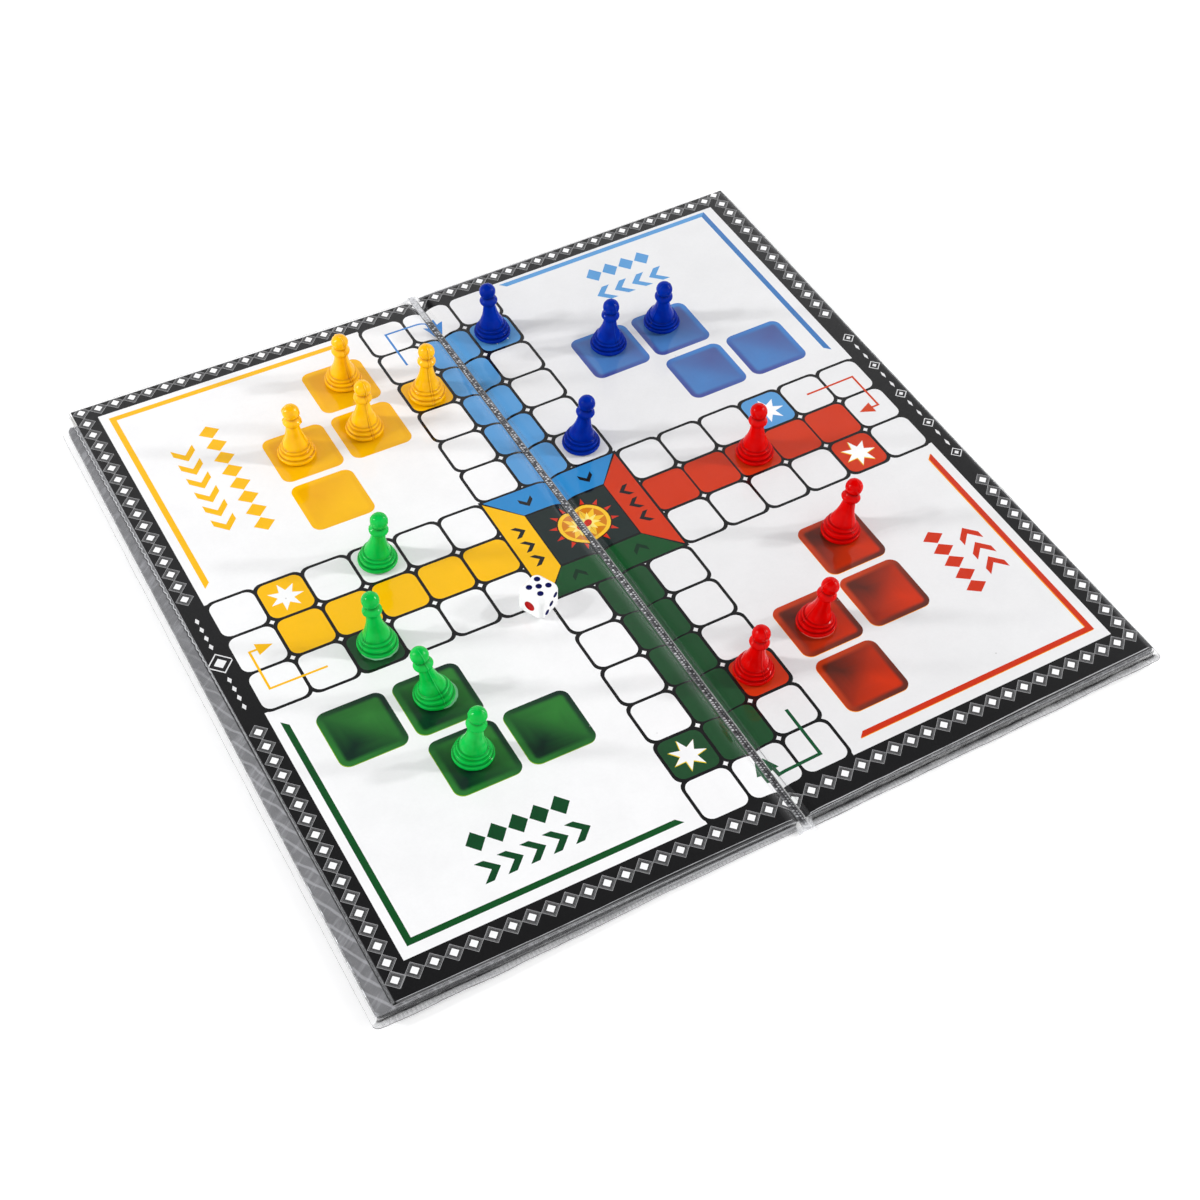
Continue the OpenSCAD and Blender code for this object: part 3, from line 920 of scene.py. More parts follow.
def corner_warp(x0, x1, y0, y1, r):
    """Pulls the corners of a rectangle in to a radius r; only the outer side's two corners."""
    def f(x, y):
        cx = x0 + r if x < x0 + r else (x1 - r if x > x1 - r else x)
        cy = y0 + r if y < y0 + r else (y1 - r if y > y1 - r else y)
        dx, dy = x - cx, y - cy
        if dx and dy:
            m = max(abs(dx), abs(dy))
            k = m / math.hypot(dx, dy)
            return cx + dx * k, cy + dy * k
        return x, y
    return f


def build_core(side):
    if side < 0:
        x0, x1, y0, y1 = -CL_OUT, -PRINT_IN - 0.45, CL_FRONT, CL_BACK
    else:
        x0, x1, y0, y1 = PRINT_IN + 0.45, R_OUT, R_FRONT - 0.6, R_BACK
    inner = x1 if side < 0 else x0

    def edge(x, y, r):
        d = min(x - x0 if side < 0 else x1 - x, y - y0, y1 - y)
        return 0.0 if d >= r else r - math.sqrt(max(0.0, r * r - (r - d) ** 2))

    zt = lambda x, y: Z_CORE_HI - 0.03 - max(dip(x, y) * (1 if abs(x) < 8 else 0), edge(x, y, 0.35) + 0.03 * noise.noise(Vector((x * 0.4, y * 0.4, 0))))
    zb = lambda x, y: Z_CORE + 0.02 + edge(x, y, 0.25)
    xs = sorted(edge_steps(x0, x1, 6.0) + [inner + (-1 if side < 0 else 1) * d for d in (1.2, 2.0, 2.8, 3.6)])
    ys = edge_steps(y0, y1, 5.0)
    cw = corner_warp(x0, x1, y0, y1, 2.2 if side < 0 else 0.8)
    ob = slab("board_core_" + TAG[side], xs, ys, zt, zb, [MAT["chip"]], HALF[side], lambda x, y: skew(side, *cw(x, y)))
    put(ob, BODY[side], "chipboard", "core_" + TAG[side])


def build_back(side):
    x0, x1 = (-SL_OUT, -PRINT_IN - 0.5) if side < 0 else (PRINT_IN + 0.5, R_OUT)
    y0, y1 = (SH_FRONT, SH_BACK) if side < 0 else (R_FRONT, R_BACK)
    w = 4.0
    xs = sorted([x0, x0 + w, x0 + w + 1.0, x1] + steps(x0 + 8, x1 - 8, 22) + [x1 - w - 1.0, x1 - w])
    ys = sorted([y0, y0 + w, y0 + w + 1.0, y1] + steps(y0 + 8, y1 - 8, 22) + [y1 - w - 1.0, y1 - w])
    ob = slab("back_sheet_vis_" + TAG[side], xs, ys, lambda x, y: FILM + SHEET, lambda x, y: FILM + 0.01, [MAT["back"]], HALF[side])
    att = ob.data.color_attributes.new("ink", "FLOAT_COLOR", "CORNER")
    cols = []
    inv = HALF[side].inverted()
    co = [inv @ v.co for v in ob.data.vertices]
    for p in ob.data.polygons:
        cx = sum(co[i].x for i in p.vertices) / len(p.vertices)
        cy = sum(co[i].y for i in p.vertices) / len(p.vertices)
        c = (0.80, 0.795, 0.77)
        d = [abs(abs(cx - a) - w - 0.5) < 0.5 for a in (x0, x1)] + [abs(abs(cy - a) - w - 0.5) < 0.5 for a in (y0, y1)]
        inside = x0 + w < cx < x1 - w and y0 + w < cy < y1 - w
        if any(d) and inside:
            c = (0.06, 0.06, 0.065)
        cols += [*c, 1.0] * len(p.vertices)
    att.data.foreach_set("color", cols)
    put(ob, BODY[side], "printed_sheet", "back_sheet_" + TAG[side])


# ---------------------------------------------------------------- clear film
def round_path(corners, r, n=5):
    """Polyline through corners with every inner corner rounded to radius r; gives the points (left turns)."""
    pts = []
    for i, c in enumerate(corners):
        if i in (0, len(corners) - 1):
            pts.append(Vector(c))
            continue
        c = Vector(c)
        a, b = (Vector(corners[i - 1]) - c).normalized(), (Vector(corners[i + 1]) - c).normalized()
        rr = r[i] if isinstance(r, (list, tuple)) else r
        # tangent points and centre
        half = math.acos(max(-1, min(1, a.dot(b)))) / 2
        d = rr / math.tan(half)
        cen = c + (a + b).normalized() * (rr / math.sin(half))
        p0, p1 = c + a * d - cen, c + b * d - cen
        a0, a1 = math.atan2(p0.y, p0.x), math.atan2(p1.y, p1.x)
        while a1 - a0 > math.pi:
            a1 -= 2 * math.pi
        while a1 - a0 < -math.pi:
            a1 += 2 * math.pi
        for k in range(n + 1):
            t = a0 + (a1 - a0) * k / n
            pts.append(cen + Vector((math.cos(t), math.sin(t))) * rr)
    return pts


def resample(pts, d):
    out = [pts[0]]
    for a, b in zip(pts, pts[1:]):
        n = max(1, math.ceil((b - a).length / d))
        out += [a + (b - a) * i / n for i in range(1, n + 1)]
    return out


def normals_of(pts, flip):
    out = []
    for i in range(len(pts)):
        a = pts[max(0, i - 1)]
        b = pts[min(len(pts) - 1, i + 1)]
        t = (b - a).normalized()
        n = Vector((t.y, -t.x)) * flip
        out.append(n)
    out[0], out[-1] = Vector(out[1]), Vector(out[-2])
    # at the seam the walls run straight on
    out[0] = Vector((0, round(out[0].y)))
    out[-1] = Vector((0, round(out[-1].y)))
    return out


BULGE = 1.3          # the right half's film stands off at the front


def outline(side, inset, r):
    """Open path round a half's film from the seam's front to its back, moved in by inset."""
    if side < 0:
        x = -FILM_L_OUT + inset
        xs = -SL_OUT - SLACK - FILM + inset
        y0, y1, y2 = FILM_FRONT + inset, CL_BACK + SLACK + FILM - inset, SH_BACK + SLACK + FILM - inset
        c = [(-PRINT_IN - 0.2, y0), (x, y0), (x, y1), (xs, y1), (xs, y2), (-PRINT_IN - 0.2, y2)]
        rr = [0, r, max(r, 2.0), max(0.5, 1.2), max(r, 0.8), 0]
    else:
        x = FILM_R_OUT - inset
        y0, y1 = R_FRONT - SLACK - FILM - BULGE + inset, R_BACK + SLACK + FILM - inset
        c = [(PRINT_IN + 0.2, y0), (x, y0), (x, y1), (PRINT_IN + 0.2, y1)]
        rr = [0, r, r, 0]
    return round_path(c, rr)


def film_marks(ob, haze_glint, shade):
    for key, val in (("haze_glint", haze_glint), ("shade", shade)):
        ob.data.attributes.new(key, "FLOAT", "POINT").data.foreach_set("value", [min(1.0, max(0.0, v)) for v in val])


def film_z(side, x, y):
    z = BOARD_T - dip(x, y)
    if side < 0 and x < -SL_OUT + 0.6:
        z -= 0.19 * smooth((-SL_OUT + 0.3 - x) / 0.9)
    return z


# haze and painted highlight lines of the wall's rings from the shoulder down, at the front and elsewhere, and painted
# shade: the front's dark foot line and a dark line at the sides' shoulder
WALL_FRONT = (0.08, 0.14, 0.36, 0.48, 0.52, 0.52, 0.52, 0.86, 0.90)
WALL_SIDE = (0.05, 0.16, 0.55, 0.12, 0.03, 0.03, 0.03, 0.04, 0.05)
WALL_SHADE = (0.0, 0.1, 0.3, 0.80, 0.88, 0.90, 0.92, 1.0, 1.0)
SIDE_SHADE = (0.0, 0.5, 0.95, 0.8, 0.0, 0.0, 0.0, 0.0, 0.0)


# the painted highlight line on the film's front shoulder, across a half, and the zigzag fold along the left print's
# edge, drawn as a painted highlight with painted shade beside it
FRONT_LINE = {-1: ((-144.0, -0.05), (-113.0, -0.25), (-95.0, -0.45), (-75.0, -0.45), (-53.0, -0.1), (-27.0, -0.3), (-3.0, -0.6)),
              1: ((3.0, -0.75), (22.0, -0.6), (60.0, -0.4), (93.0, 0.25), (142.0, 0.4))}


def front_line(side, x):
    base = SH_FRONT if side < 0 else R_FRONT
    return base + line_at(FRONT_LINE[side], x) + (0.14 if side > 0 else 0.06) * noise.noise(Vector((x * 0.16, 5.0, side)))


def fold_line(y):
    """Middle of the zigzag fold, and how strong it is."""
    c = -SL_OUT - 0.80 + 0.55 * smooth((60 - y) / 80)
    t = y / 3.0 + 0.5 * noise.noise(Vector((y * 0.07, 1.0, 0)))
    saw = 4 * abs((t % 1.0) - 0.5) - 1
    k = 0.30 + 0.70 * smooth((y + 30) / 60)
    return c + 0.36 * saw * (0.1 + 0.9 * (k - 0.3) / 0.7), k


def build_top_film(side):
    rnd = random.Random(11 + side)
    base = resample(outline(side, 0.45, 0.6), 1.5)
    flip = -1 if side < 0 else 1
    # path runs front -> outer side -> back; the outward normal is to its left for the left half
    nrm = normals_of(base, 1 if side > 0 else -1)
    ring0 = [(p.x, p.y) for p in base]
    polys = [ring0]
    lines = bend_lines(side, FILM_FRONT - 5, FILM_BACK + 5, 2)
    for ins in (0.72, 1.0, 1.75, 2.0, 2.25, 4.5, 8.0, 14.0):
        q = outline(side, ins, 1.5)
        w = [(p.x, p.y) for p in q]
        lines += list(zip(w, w[1:]))
    if side < 0:
        for x in (-SL_OUT + 0.6, -SL_OUT + 0.1):
            lines.append(((x, FILM_FRONT + 1.0), (x, CL_BACK - 1.0)))
        for o in (0.30, 0.08, -0.08, -0.28, -0.50, -0.75):
            row = [(fold_line(y)[0] + o, y) for y in steps(FILM_FRONT + 2.5, CL_BACK - 0.5, 0.75)]
            lines += list(zip(row, row[1:]))
    for o in ((0.30, 0.10, -0.08, -0.20) if side > 0 else (0.30, 0.13, 0.05, -0.05, -0.14, -0.30)):
        row = [(x, front_line(side, x) + o) for x in steps(*((-SL_OUT + 2.0, -PRINT_IN - 1.3) if side < 0 else (PRINT_IN + 1.3, R_OUT - 1.5)), 2.0)]
        lines += list(zip(row, row[1:]))
    pts, tri, _ = patch(polys, lines, 0)
    verts = [(*skew(side, x, y), film_z(side, x, y)) for x, y in pts]
    haze_glint, shade = [], []
    front = FILM_FRONT if side < 0 else R_FRONT - SLACK - FILM - BULGE
    for x, y in pts:
        strip = smooth((-SL_OUT + 0.15 - x) / 0.3) if side < 0 else 0.0
        hz_glint, sh = 0.0, 0.0
        d = y - front
        off = y - front_line(side, x)
        # a painted highlight line along the front, painted shade in a band in front of it and lighter painted shade
        # beyond
        if abs(x) > PRINT_IN + 1.2 and (x > -SL_OUT + 1.5 or side > 0) and x < R_OUT - 1.0:
            if (-0.12 < off < 0.14) if side > 0 else (-0.1 < off < 0.1):
                hz_glint = 0.46 + 0.20 * noise.noise(Vector((x * 0.25, 2.0, side)))
            elif -0.6 < off < (-0.15 if side > 0 else -0.1):
                hz_glint, sh = (0.30 if side > 0 else 0.45), 0.95
            elif off < -0.6:
                hz_glint, sh = 0.16, 0.6
        elif d < 0.6:
            hz_glint = 0.10
        out = (x + FILM_L_OUT) if side < 0 else (FILM_R_OUT - x)
        if side > 0 and out < 2.3:
            hz_glint = max(hz_glint, 0.10 * (1 - out / 2.3))
        # the film's fold over the print's edge along the strip: a painted highlight on its ridge, painted shade beside
        # it and a faint painted highlight line at the print's edge
        if side < 0 and x < -SL_OUT + 0.2 and FILM_FRONT + 2 < y < CL_BACK:
            c, k = fold_line(y)
            if abs(x - c) < 0.1:
                hz_glint = k * max(0.1, 0.62 + 0.5 * noise.noise(Vector((1.0, y * 0.8, 0))))
            elif -0.54 < x - c < -0.24:
                hz_glint, sh = max(0.45, 0.70 * k), 1.0
            elif abs(x + SL_OUT - 0.1) < 0.05:
                hz_glint = 0.10 + 0.15 * k
        haze_glint.append(max(0.0, hz_glint, 0.07 * strip))
        shade.append(sh)
    faces = [list(t) for t in tri]
    # walls: rings from the shoulder down
    prof = [(0.14, -0.02), (0.27, -0.08), (0.38, -0.18), (0.44, -0.34), (0.45, -0.9), (0.44, -1.7), (0.45, -2.4), (0.50, -2.95), (0.75, -3.18)]
    prev = locate(pts, ring0)
    lo_z = 0.30
    for (o, dz), hf, hs, sf, ss in zip(prof, WALL_FRONT, WALL_SIDE, WALL_SHADE, SIDE_SHADE):
        row = []
        for i, (p, n) in enumerate(zip(base, nrm)):
            q = p + n * (o - 0.08)
            z0 = film_z(side, p.x, p.y)
            # towards the seam the painted shade of the left front's dark foot climbs the wall
            climb = smooth((p.x + 125) / 110) if side < 0 else 0.0
            f = dz / prof[-1][1]
            z = z0 + (lo_z - z0) * f if f > 0.1 else z0 + dz
            z = max(z, lo_z)
            w = 0.10 * noise.noise(Vector((p.x * 0.22, p.y * 0.22, z * 0.8 + 5 * side))) * smooth(-dz / 0.5)
            q += n * w
            row.append(len(verts))
            verts.append((*skew(side, q.x, q.y), z))
            wf = smooth((-n.y - 0.3) / 0.4)
            wl = 1 - wf if side < 0 and n.x < -0.5 else 0.0
            rough = 1 + 0.4 * noise.noise(Vector((p.x * 0.35, p.y * 0.35, 9.0 * o + 3.0 * dz)))
            h1, s1 = hf, sf
            if dz < -2.0 and climb:
                # what is left below the foot line is the flange's pale grey
                h1, s1 = hf + (0.55 - hf) * climb, sf + (0.42 - sf) * climb
            elif -2.0 < dz < -0.8 and climb:
                h1, s1 = hf + (0.9 - hf) * climb * (0.4 if dz > -1.2 else 1.0), sf + (1.0 - sf) * climb
            hz_glint = (h1 * wf + hs * (1 - wf)) * rough
            sh = s1 * wf + ss * (1 - wf)
            # painted glints on the left wall's shoulder at given places along its front part
            if wl > 0.5 and -0.4 < dz < -0.05:
                g = max(math.exp(-((p.y - 18.2 * Y) / 1.7) ** 2) for Y in (-7.75, -7.15, -6.6, -6.0, -5.45))
                hz_glint, sh = max(hz_glint, 0.9 * g), sh * (1 - g)
            haze_glint.append(hz_glint)
            shade.append(sh)
        for a in range(len(row) - 1):
            faces.append([prev[a], prev[a + 1], row[a + 1], row[a]] if side < 0 else [prev[a], row[a], row[a + 1], prev[a + 1]])
        prev = row
    ob = make("film_top_" + TAG[side], verts, faces, [MAT["film"]], HALF[side], smooth_all=True)
    bm = bmesh.new()
    bm.from_mesh(ob.data)
    bmesh.ops.recalc_face_normals(bm, faces=bm.faces)
    up = sum(f.normal.z * f.calc_area() for f in bm.faces)
    if up < 0:
        bmesh.ops.reverse_faces(bm, faces=bm.faces)
    bm.to_mesh(ob.data)
    bm.free()
    film_marks(ob, haze_glint, shade)
    sol = ob.modifiers.new("thick", "SOLIDIFY")
    sol.thickness = 0.17 * MM
    sol.offset = -1
    sol.use_even_offset = False
    put(ob, BODY[side], "clear_film", "top_film_" + TAG[side])


def build_bottom_film(side):
    """The lower sheet and the welded border that stands out round the board."""
    base = resample(outline(side, 0.0, 0.9), 0.5)
    nrm = normals_of(base, 1 if side > 0 else -1)
    ring0 = [(p.x, p.y) for p in base]
    pts, tri, _ = patch([ring0], [], 0)
    verts = [(*skew(side, x, y), FILM - 0.02) for x, y in pts]
    haze_glint, shade = [0.03] * len(pts), [0.0] * len(pts)
    faces = [list(t) for t in tri]
    prev = locate(pts, ring0)
    # reach, rise, haze at the front, at the sides, at the back, darkness at the front, at the sides: painted shade at
    # the wall's foot and over the front flange, and a dark line at the outer edge
    prof = [(0.10, 0.10, 0.66, 0.05, 0.01, 1.0, 0.1), (0.25, 0.16, 0.66, 0.05, 0.01, 0.98, 0.0), (0.42, 0.22, 0.52, 0.04, 0.01, 0.62, 0.0),
            (0.60, 0.24, 0.48, 0.03, 0.01, 0.50, 0.0), (0.95, 0.20, 0.45, 0.025, 0.01, 0.46, 0.0), (1.45, 0.17, 0.42, 0.02, 0.0, 0.42, 0.0),
            (1.95, 0.15, 0.38, 0.02, 0.0, 0.36, 0.0), (2.40, 0.14, 0.34, 0.04, 0.0, 0.30, 0.6), (2.46, 0.14, 0.90, 0.42, 0.03, 1.0, 0.9),
            (2.56, 0.14, 0.90, 0.42, 0.03, 1.0, 0.9), (2.6, 0.13, 0.50, 0.20, 0.01, 0.8, 0.6)]
    total = 0.0
    dist = [0.0]
    for a, b in zip(base, base[1:]):
        total += (b - a).length
        dist.append(total)
    for o, dz, hf, hs, hb, df, ds in prof:
        row = []
        for i, (p, n) in enumerate(zip(base, nrm)):
            s = dist[i]
            k = o / 2.6
            wave = noise.noise(Vector((s * 0.11, 3.7 * side, 0))) * 0.55 + noise.noise(Vector((s * 0.35, 9.1, side))) * 0.25
            edge = 1 + 0.16 * noise.noise(Vector((s * 0.06, 1.3, 4 * side))) + 0.05 * noise.noise(Vector((s * 0.9, 7.7, side)))
            end = smooth(min(s, total - s) / 5.0)
            wf, wb = smooth((-n.y - 0.3) / 0.4), smooth((n.y - 0.3) / 0.4)
            ws = 1 - wf - wb
            slim = 1 - (0.27 if side < 0 else 0.24) * ws
            if side < 0:
                slim -= 0.42 * wf * smooth((p.x + 140) / 130)
            q = p + n * (o * slim * (1 - (1 - edge) * k))
            z = FILM - 0.02 + dz * 0.6 + (wave * 0.45 * k * k + 0.18 * k * k) * end
            z = max(z, 0.16 * 1.0 if k < 0.3 else 0.10)
            row.append(len(verts))
            verts.append((*skew(side, q.x, q.y), z))
            rough = 1 + (0.5 if side > 0 else 0.22) * noise.noise(Vector((s * 0.22, o * 1.2, side)))
            hz_glint, dk = hf * wf + hs * ws + hb * wb, df * wf + ds * ws
            # towards the seam the left front's painted shade at the foot climbs as well
            if side < 0 and o < 0.5:
                climb = wf * smooth((p.x + 125) / 110)
                hz_glint, dk = hz_glint + (0.48 - hz_glint) * climb, dk + (0.45 - dk) * climb
            if wf > 0.5 and 0.3 < o < 2.3:
                # fine cross ribs drawn in the film's alpha; on the right painted shade, darker towards the wall
                near = (1 - smooth((o - 0.3) / 1.4)) * (side > 0)
                hz_glint += 0.16 * near + 0.07 * math.sin(s * 4.4 + 2.0 * noise.noise(Vector((s * 0.2, 1.0, 0))))
                dk += 0.30 * near
            haze_glint.append(hz_glint * rough)
            shade.append(dk)
        for a in range(len(row) - 1):
            faces.append([prev[a], prev[a + 1], row[a + 1], row[a]] if side < 0 else [prev[a], row[a], row[a + 1], prev[a + 1]])
        prev = row
    ob = make("film_under_" + TAG[side], verts, faces, [MAT["film"]], HALF[side], smooth_all=True)
    bm = bmesh.new()
    bm.from_mesh(ob.data)
    bmesh.ops.recalc_face_normals(bm, faces=bm.faces)
    if sum(f.normal.z * f.calc_area() for f in bm.faces) < 0:
        bmesh.ops.reverse_faces(bm, faces=bm.faces)
    bm.to_mesh(ob.data)
    bm.free()
    film_marks(ob, haze_glint, shade)
    sol = ob.modifiers.new("thick", "SOLIDIFY")
    sol.thickness = 0.2 * MM
    sol.offset = -1
    sol.use_even_offset = False
    put(ob, BODY[side], "clear_film", "bottom_film_" + TAG[side])


# ---------------------------------------------------------------- hinge: two creases of film and a ribbed weld
Y_FRONT, Y_BACK = FILM_FRONT - BORDER, FILM_BACK + BORDER
WELD_X = 1.04


def build_weld():
    """A crumpled strip: short cross ridges of uneven height with dark gaps between them; its colour is painted
    highlights on the crests and painted shade in the gaps.
    """
    rnd = random.Random(5)
    nx = 12
    xs = [-WELD_X + 2 * WELD_X * i / nx for i in range(nx + 1)]
    dy = 0.14
    ny = round((Y_BACK - Y_FRONT) / dy)
    pitch = 1.12
    rows = int((Y_BACK - Y_FRONT) / pitch) + 6
    facet = [[(rnd.choice((rnd.uniform(0.15, 0.5), rnd.uniform(0.7, 1.0))), rnd.uniform(-0.22, 0.22), rnd.uniform(-0.16, 0.16), rnd.uniform(-0.3, 0.3)) for _ in range(rows)] for _ in (0, 1)]

    def h(x, y):
        split = 0.35 * noise.noise(Vector((y * 0.22, 8.0, 0)))
        c = 0 if x < split else 1
        u = (y - Y_FRONT) / pitch + 0.42 * c + 0.16 * x + 0.35 * noise.noise(Vector((y * 0.35, 3.0 * c, 0)))
        k = max(0, min(rows - 1, math.floor(u) + 1))
        f = u - math.floor(u)
        a, tx, ty, sh = facet[c][k]
        mid = (split + (WELD_X if c else -WELD_X)) / 2
        half = abs((WELD_X if c else -WELD_X) - split) / 2
        across = max(0.0, 1 - (abs(x - mid) / (half * 1.02)) ** 3)
        along = min(1.0, 3.0 * min(f, 1 - f))
        crest = across * along * a
        return crest, 0.30 * crest + across * (tx * (x - mid) + ty * (f - 0.5))

    verts, crest = [], []
    for top in (1, 0):
        for j in range(ny + 1):
            y = Y_FRONT + (Y_BACK - Y_FRONT) * j / ny
            end = smooth(min(y - Y_FRONT, Y_BACK - y) / 5.0)
            sway = 0.10 * noise.noise(Vector((y * 0.05, 0, 0))) + 0.05 * noise.noise(Vector((y * 0.6, 4, 0)))
            for x in xs:
                c, hh = h(x, y)
                rise = smooth((y + 115) / 170)
                hh *= 0.5 + 0.5 * rise
                if top:
                    verts.append((x + sway, y, 2.0 + hh * (0.25 + 0.75 * end)))
                else:
                    verts.append((x + sway, y, 1.6 - 0.3 * hh * end))
                # the weld's grey from its crests: painted highlights on them, painted shade between them, lighter
                # towards the back
                shade_sheen_tone = 0.43 + 0.15 * rise + (c - 0.45) * (0.75 + 0.25 * rise)
                # the front half: a painted highlight along the left edge, a painted shade gap, a fairly light right
                # part and a painted dark line along the right edge
                u = x + sway
                ends = 0.62 * math.exp(-((u + 0.95) / 0.18) ** 2) - 0.20 * math.exp(-((u - 0.05) / 0.28) ** 2) + 0.08 * math.exp(-((u - 0.6) / 0.25) ** 2)
                ends -= 0.75 * math.exp(-((u - 1.0) / 0.28) ** 2)
                shade_sheen_tone = max(0.05, shade_sheen_tone + ends * 0.55 * smooth((-y - 5) / 40))
                pale = max(1 - end, smooth((y - 128) / 8))
                crest.append(min(1.0, shade_sheen_tone * (1 - pale) + 0.95 * pale))
    n, w = (ny + 1) * (nx + 1), nx + 1
    faces = []
    for j in range(ny):
        for i in range(nx):
            a = j * w + i
            faces.append([a, a + 1, a + w + 1, a + w])
            faces.append([n + a, n + a + w, n + a + w + 1, n + a + 1])
    rim = list(range(w)) + [j * w + nx for j in range(1, ny + 1)] + [ny * w + i for i in range(nx - 1, -1, -1)] + [j * w for j in range(ny - 1, 0, -1)]
    for a, b in zip(rim, rim[1:] + rim[:1]):
        faces.append([b, a, n + a, n + b])
    ob = make("hinge_weld", verts, faces, [MAT["weld"]], HALF[0])
    at = ob.data.attributes.new("crest", "FLOAT", "POINT")
    at.data.foreach_set("value", crest)
    put(ob, "hinge_strip", "ribbed_weld", "hinge_strip")


def build_crease(side):
    """Film from a half's printed edge over the crease to the weld, shaped in place between the half and the strip."""
    inv = HALF[0].inverted() @ HALF[side]
    ny = 330
    y_lo = FILM_FRONT if side < 0 else R_FRONT - SLACK - FILM - BULGE
    y_hi = FILM_BACK
    # across: from on top of the print, down over its edge, to the weld
    prof = [(3.4, 0.05), (2.95, 0.05), (2.70, 0.06), (2.58, 0.07), (2.46, 0.06), (2.2, 0.05), (1.95, 0.05), (1.72, 0.05), (1.48, 0.05), (1.36, None), (1.22, None), (1.0, None)]
    verts, haze_glint, shade = [], [], []
    for j in range(ny + 1):
        y = Y_FRONT + (Y_BACK - Y_FRONT) * j / ny
        past = smooth(max(y_lo + 0.2 - y, y - y_hi + 0.2) / 1.3)
        # the painted highlight line beside the weld comes and goes
        line = 0.30 * smooth(0.5 + 1.6 * noise.noise(Vector((y * 0.045, 6.0 * side, 2.0)))) * (1.0 if side < 0 else 0.8)
        for x, z in prof:
            wob = 0.04 * noise.noise(Vector((y * 0.5, side * 3.0, x)))
            if z is not None:
                zz = BOARD_T - FILM - dip(x, y) + z
                if past > 0:
                    low = 0.5 + 1.3 * smooth((3.5 - x) / 1.5)
                    zz += (min(zz, low) - zz) * past
                p = inv @ Vector((side * x, y, zz))
                h = line if abs(x - 2.58) < 0.05 else (0.03 if x > 1.6 else 0.10)
                front = smooth((-y - 10) / 50)
                if x < 1.6:
                    h = max(h, (0.14 if side > 0 else 0.18) * front)
                d = 0.0
            else:
                # painted shade: dark lines on the film beside the weld, milkier at the front
                p = Vector((side * x, y, {1.36: 2.08, 1.22: 2.0, 1.0: 1.97}[x] + wob))
                front = smooth((-y - 10) / 50)
                h = (0.34 if x > 1.1 else 0.5) + (0.28 * front if side > 0 else 0.0)
                d = (0.85 if x > 1.1 else 0.5) * (1 - 0.6 * front * (side < 0))
            haze_glint.append(h + (0.36 - h) * past)
            shade.append(d * (1 - past))
            verts.append(tuple(p))
    w = len(prof)
    faces = []
    for j in range(ny):
        for i in range(w - 1):
            a = j * w + i
            faces.append([a, a + 1, a + w + 1, a + w])
    ob = make("film_crease_" + TAG[side], verts, faces, [MAT["film"]], HALF[0], smooth_all=True)
    bm = bmesh.new()
    bm.from_mesh(ob.data)
    bmesh.ops.recalc_face_normals(bm, faces=bm.faces)
    if sum(f.normal.z * f.calc_area() for f in bm.faces) < 0:
        bmesh.ops.reverse_faces(bm, faces=bm.faces)
    bm.to_mesh(ob.data)
    bm.free()
    film_marks(ob, haze_glint, shade)
    sol = ob.modifiers.new("thick", "SOLIDIFY")
    sol.thickness = 0.08 * MM
    sol.offset = -1
    bpy.context.view_layer.update()
    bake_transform(ob)


for side in (-1, 1):
    build_core(side)
    build_back(side)
    build_top_film(side)
    build_bottom_film(side)
    build_crease(side)
build_weld()

# ---------------------------------------------------------------- pawns
FOOT = [(0, 0), (6.8, 0), (7.25, 0.5), (7.4, 1.2), (7.2, 1.95), (6.35, 2.2), (6.6, 2.6), (6.45, 3.6), (5.55, 3.85)]
STEM = [(5.45, 4.05), (5.75, 4.5), (5.65, 5.15), (4.85, 5.4), (4.72, 6.6), (3.65, 9.1), (3.0, 11.3), (2.4, 14.65), (2.25, 16.0),
        (3.35, 16.42), (3.65, 17.25), (3.4, 18.0), (2.75, 18.75), (2.35, 19.6)]
HEAD_Z, HEAD_R = 21.85, 3.25
# height, half width and depth of the painted shade in the grooves; the first is contact shade under the foot
GROOVES = ((0.0, 0.5, 0.45), (2.2, 0.28, 0.50), (3.95, 0.22, 0.42), (5.42, 0.22, 0.38), (16.0, 0.55, 0.45), (19.65, 0.65, 0.50))


def soften(pts, r, n=3):
    """Rounds a profile's corners."""
    out = [pts[0]]
    for a, b, c in zip(pts, pts[1:], pts[2:]):
        a, b, c = Vector(a), Vector(b), Vector(c)
        la, lc = (a - b).length, (c - b).length
        d = min(r, 0.42 * la, 0.42 * lc)
        p, q = b + (a - b).normalized() * d, b + (c - b).normalized() * d
        for i in range(n + 1):
            t = i / n
            out.append(tuple((1 - t) ** 2 * p + 2 * t * (1 - t) * b + t * t * q))
    out.append(pts[-1])
    return out


def pawn_profile(nub):
    head = []
    a0 = math.asin((19.75 - HEAD_Z) / HEAD_R)
    for i in range(15):
        a = a0 + (math.pi / 2 - 0.14 - a0) * i / 14
        head.append((HEAD_R * math.cos(a), HEAD_Z + HEAD_R * math.sin(a)))
    body = soften(FOOT + STEM + [(2.42, 19.72)], 0.26)
    pr = body + head[1:]
    top = HEAD_Z + HEAD_R
    pr += [(0.5 + 0.1 * nub, top - 0.04), (0.42, top - 0.02 + 0.30 * nub), (0.2, top + 0.34 * nub), (0, top + 0.36 * nub)]
    return pr


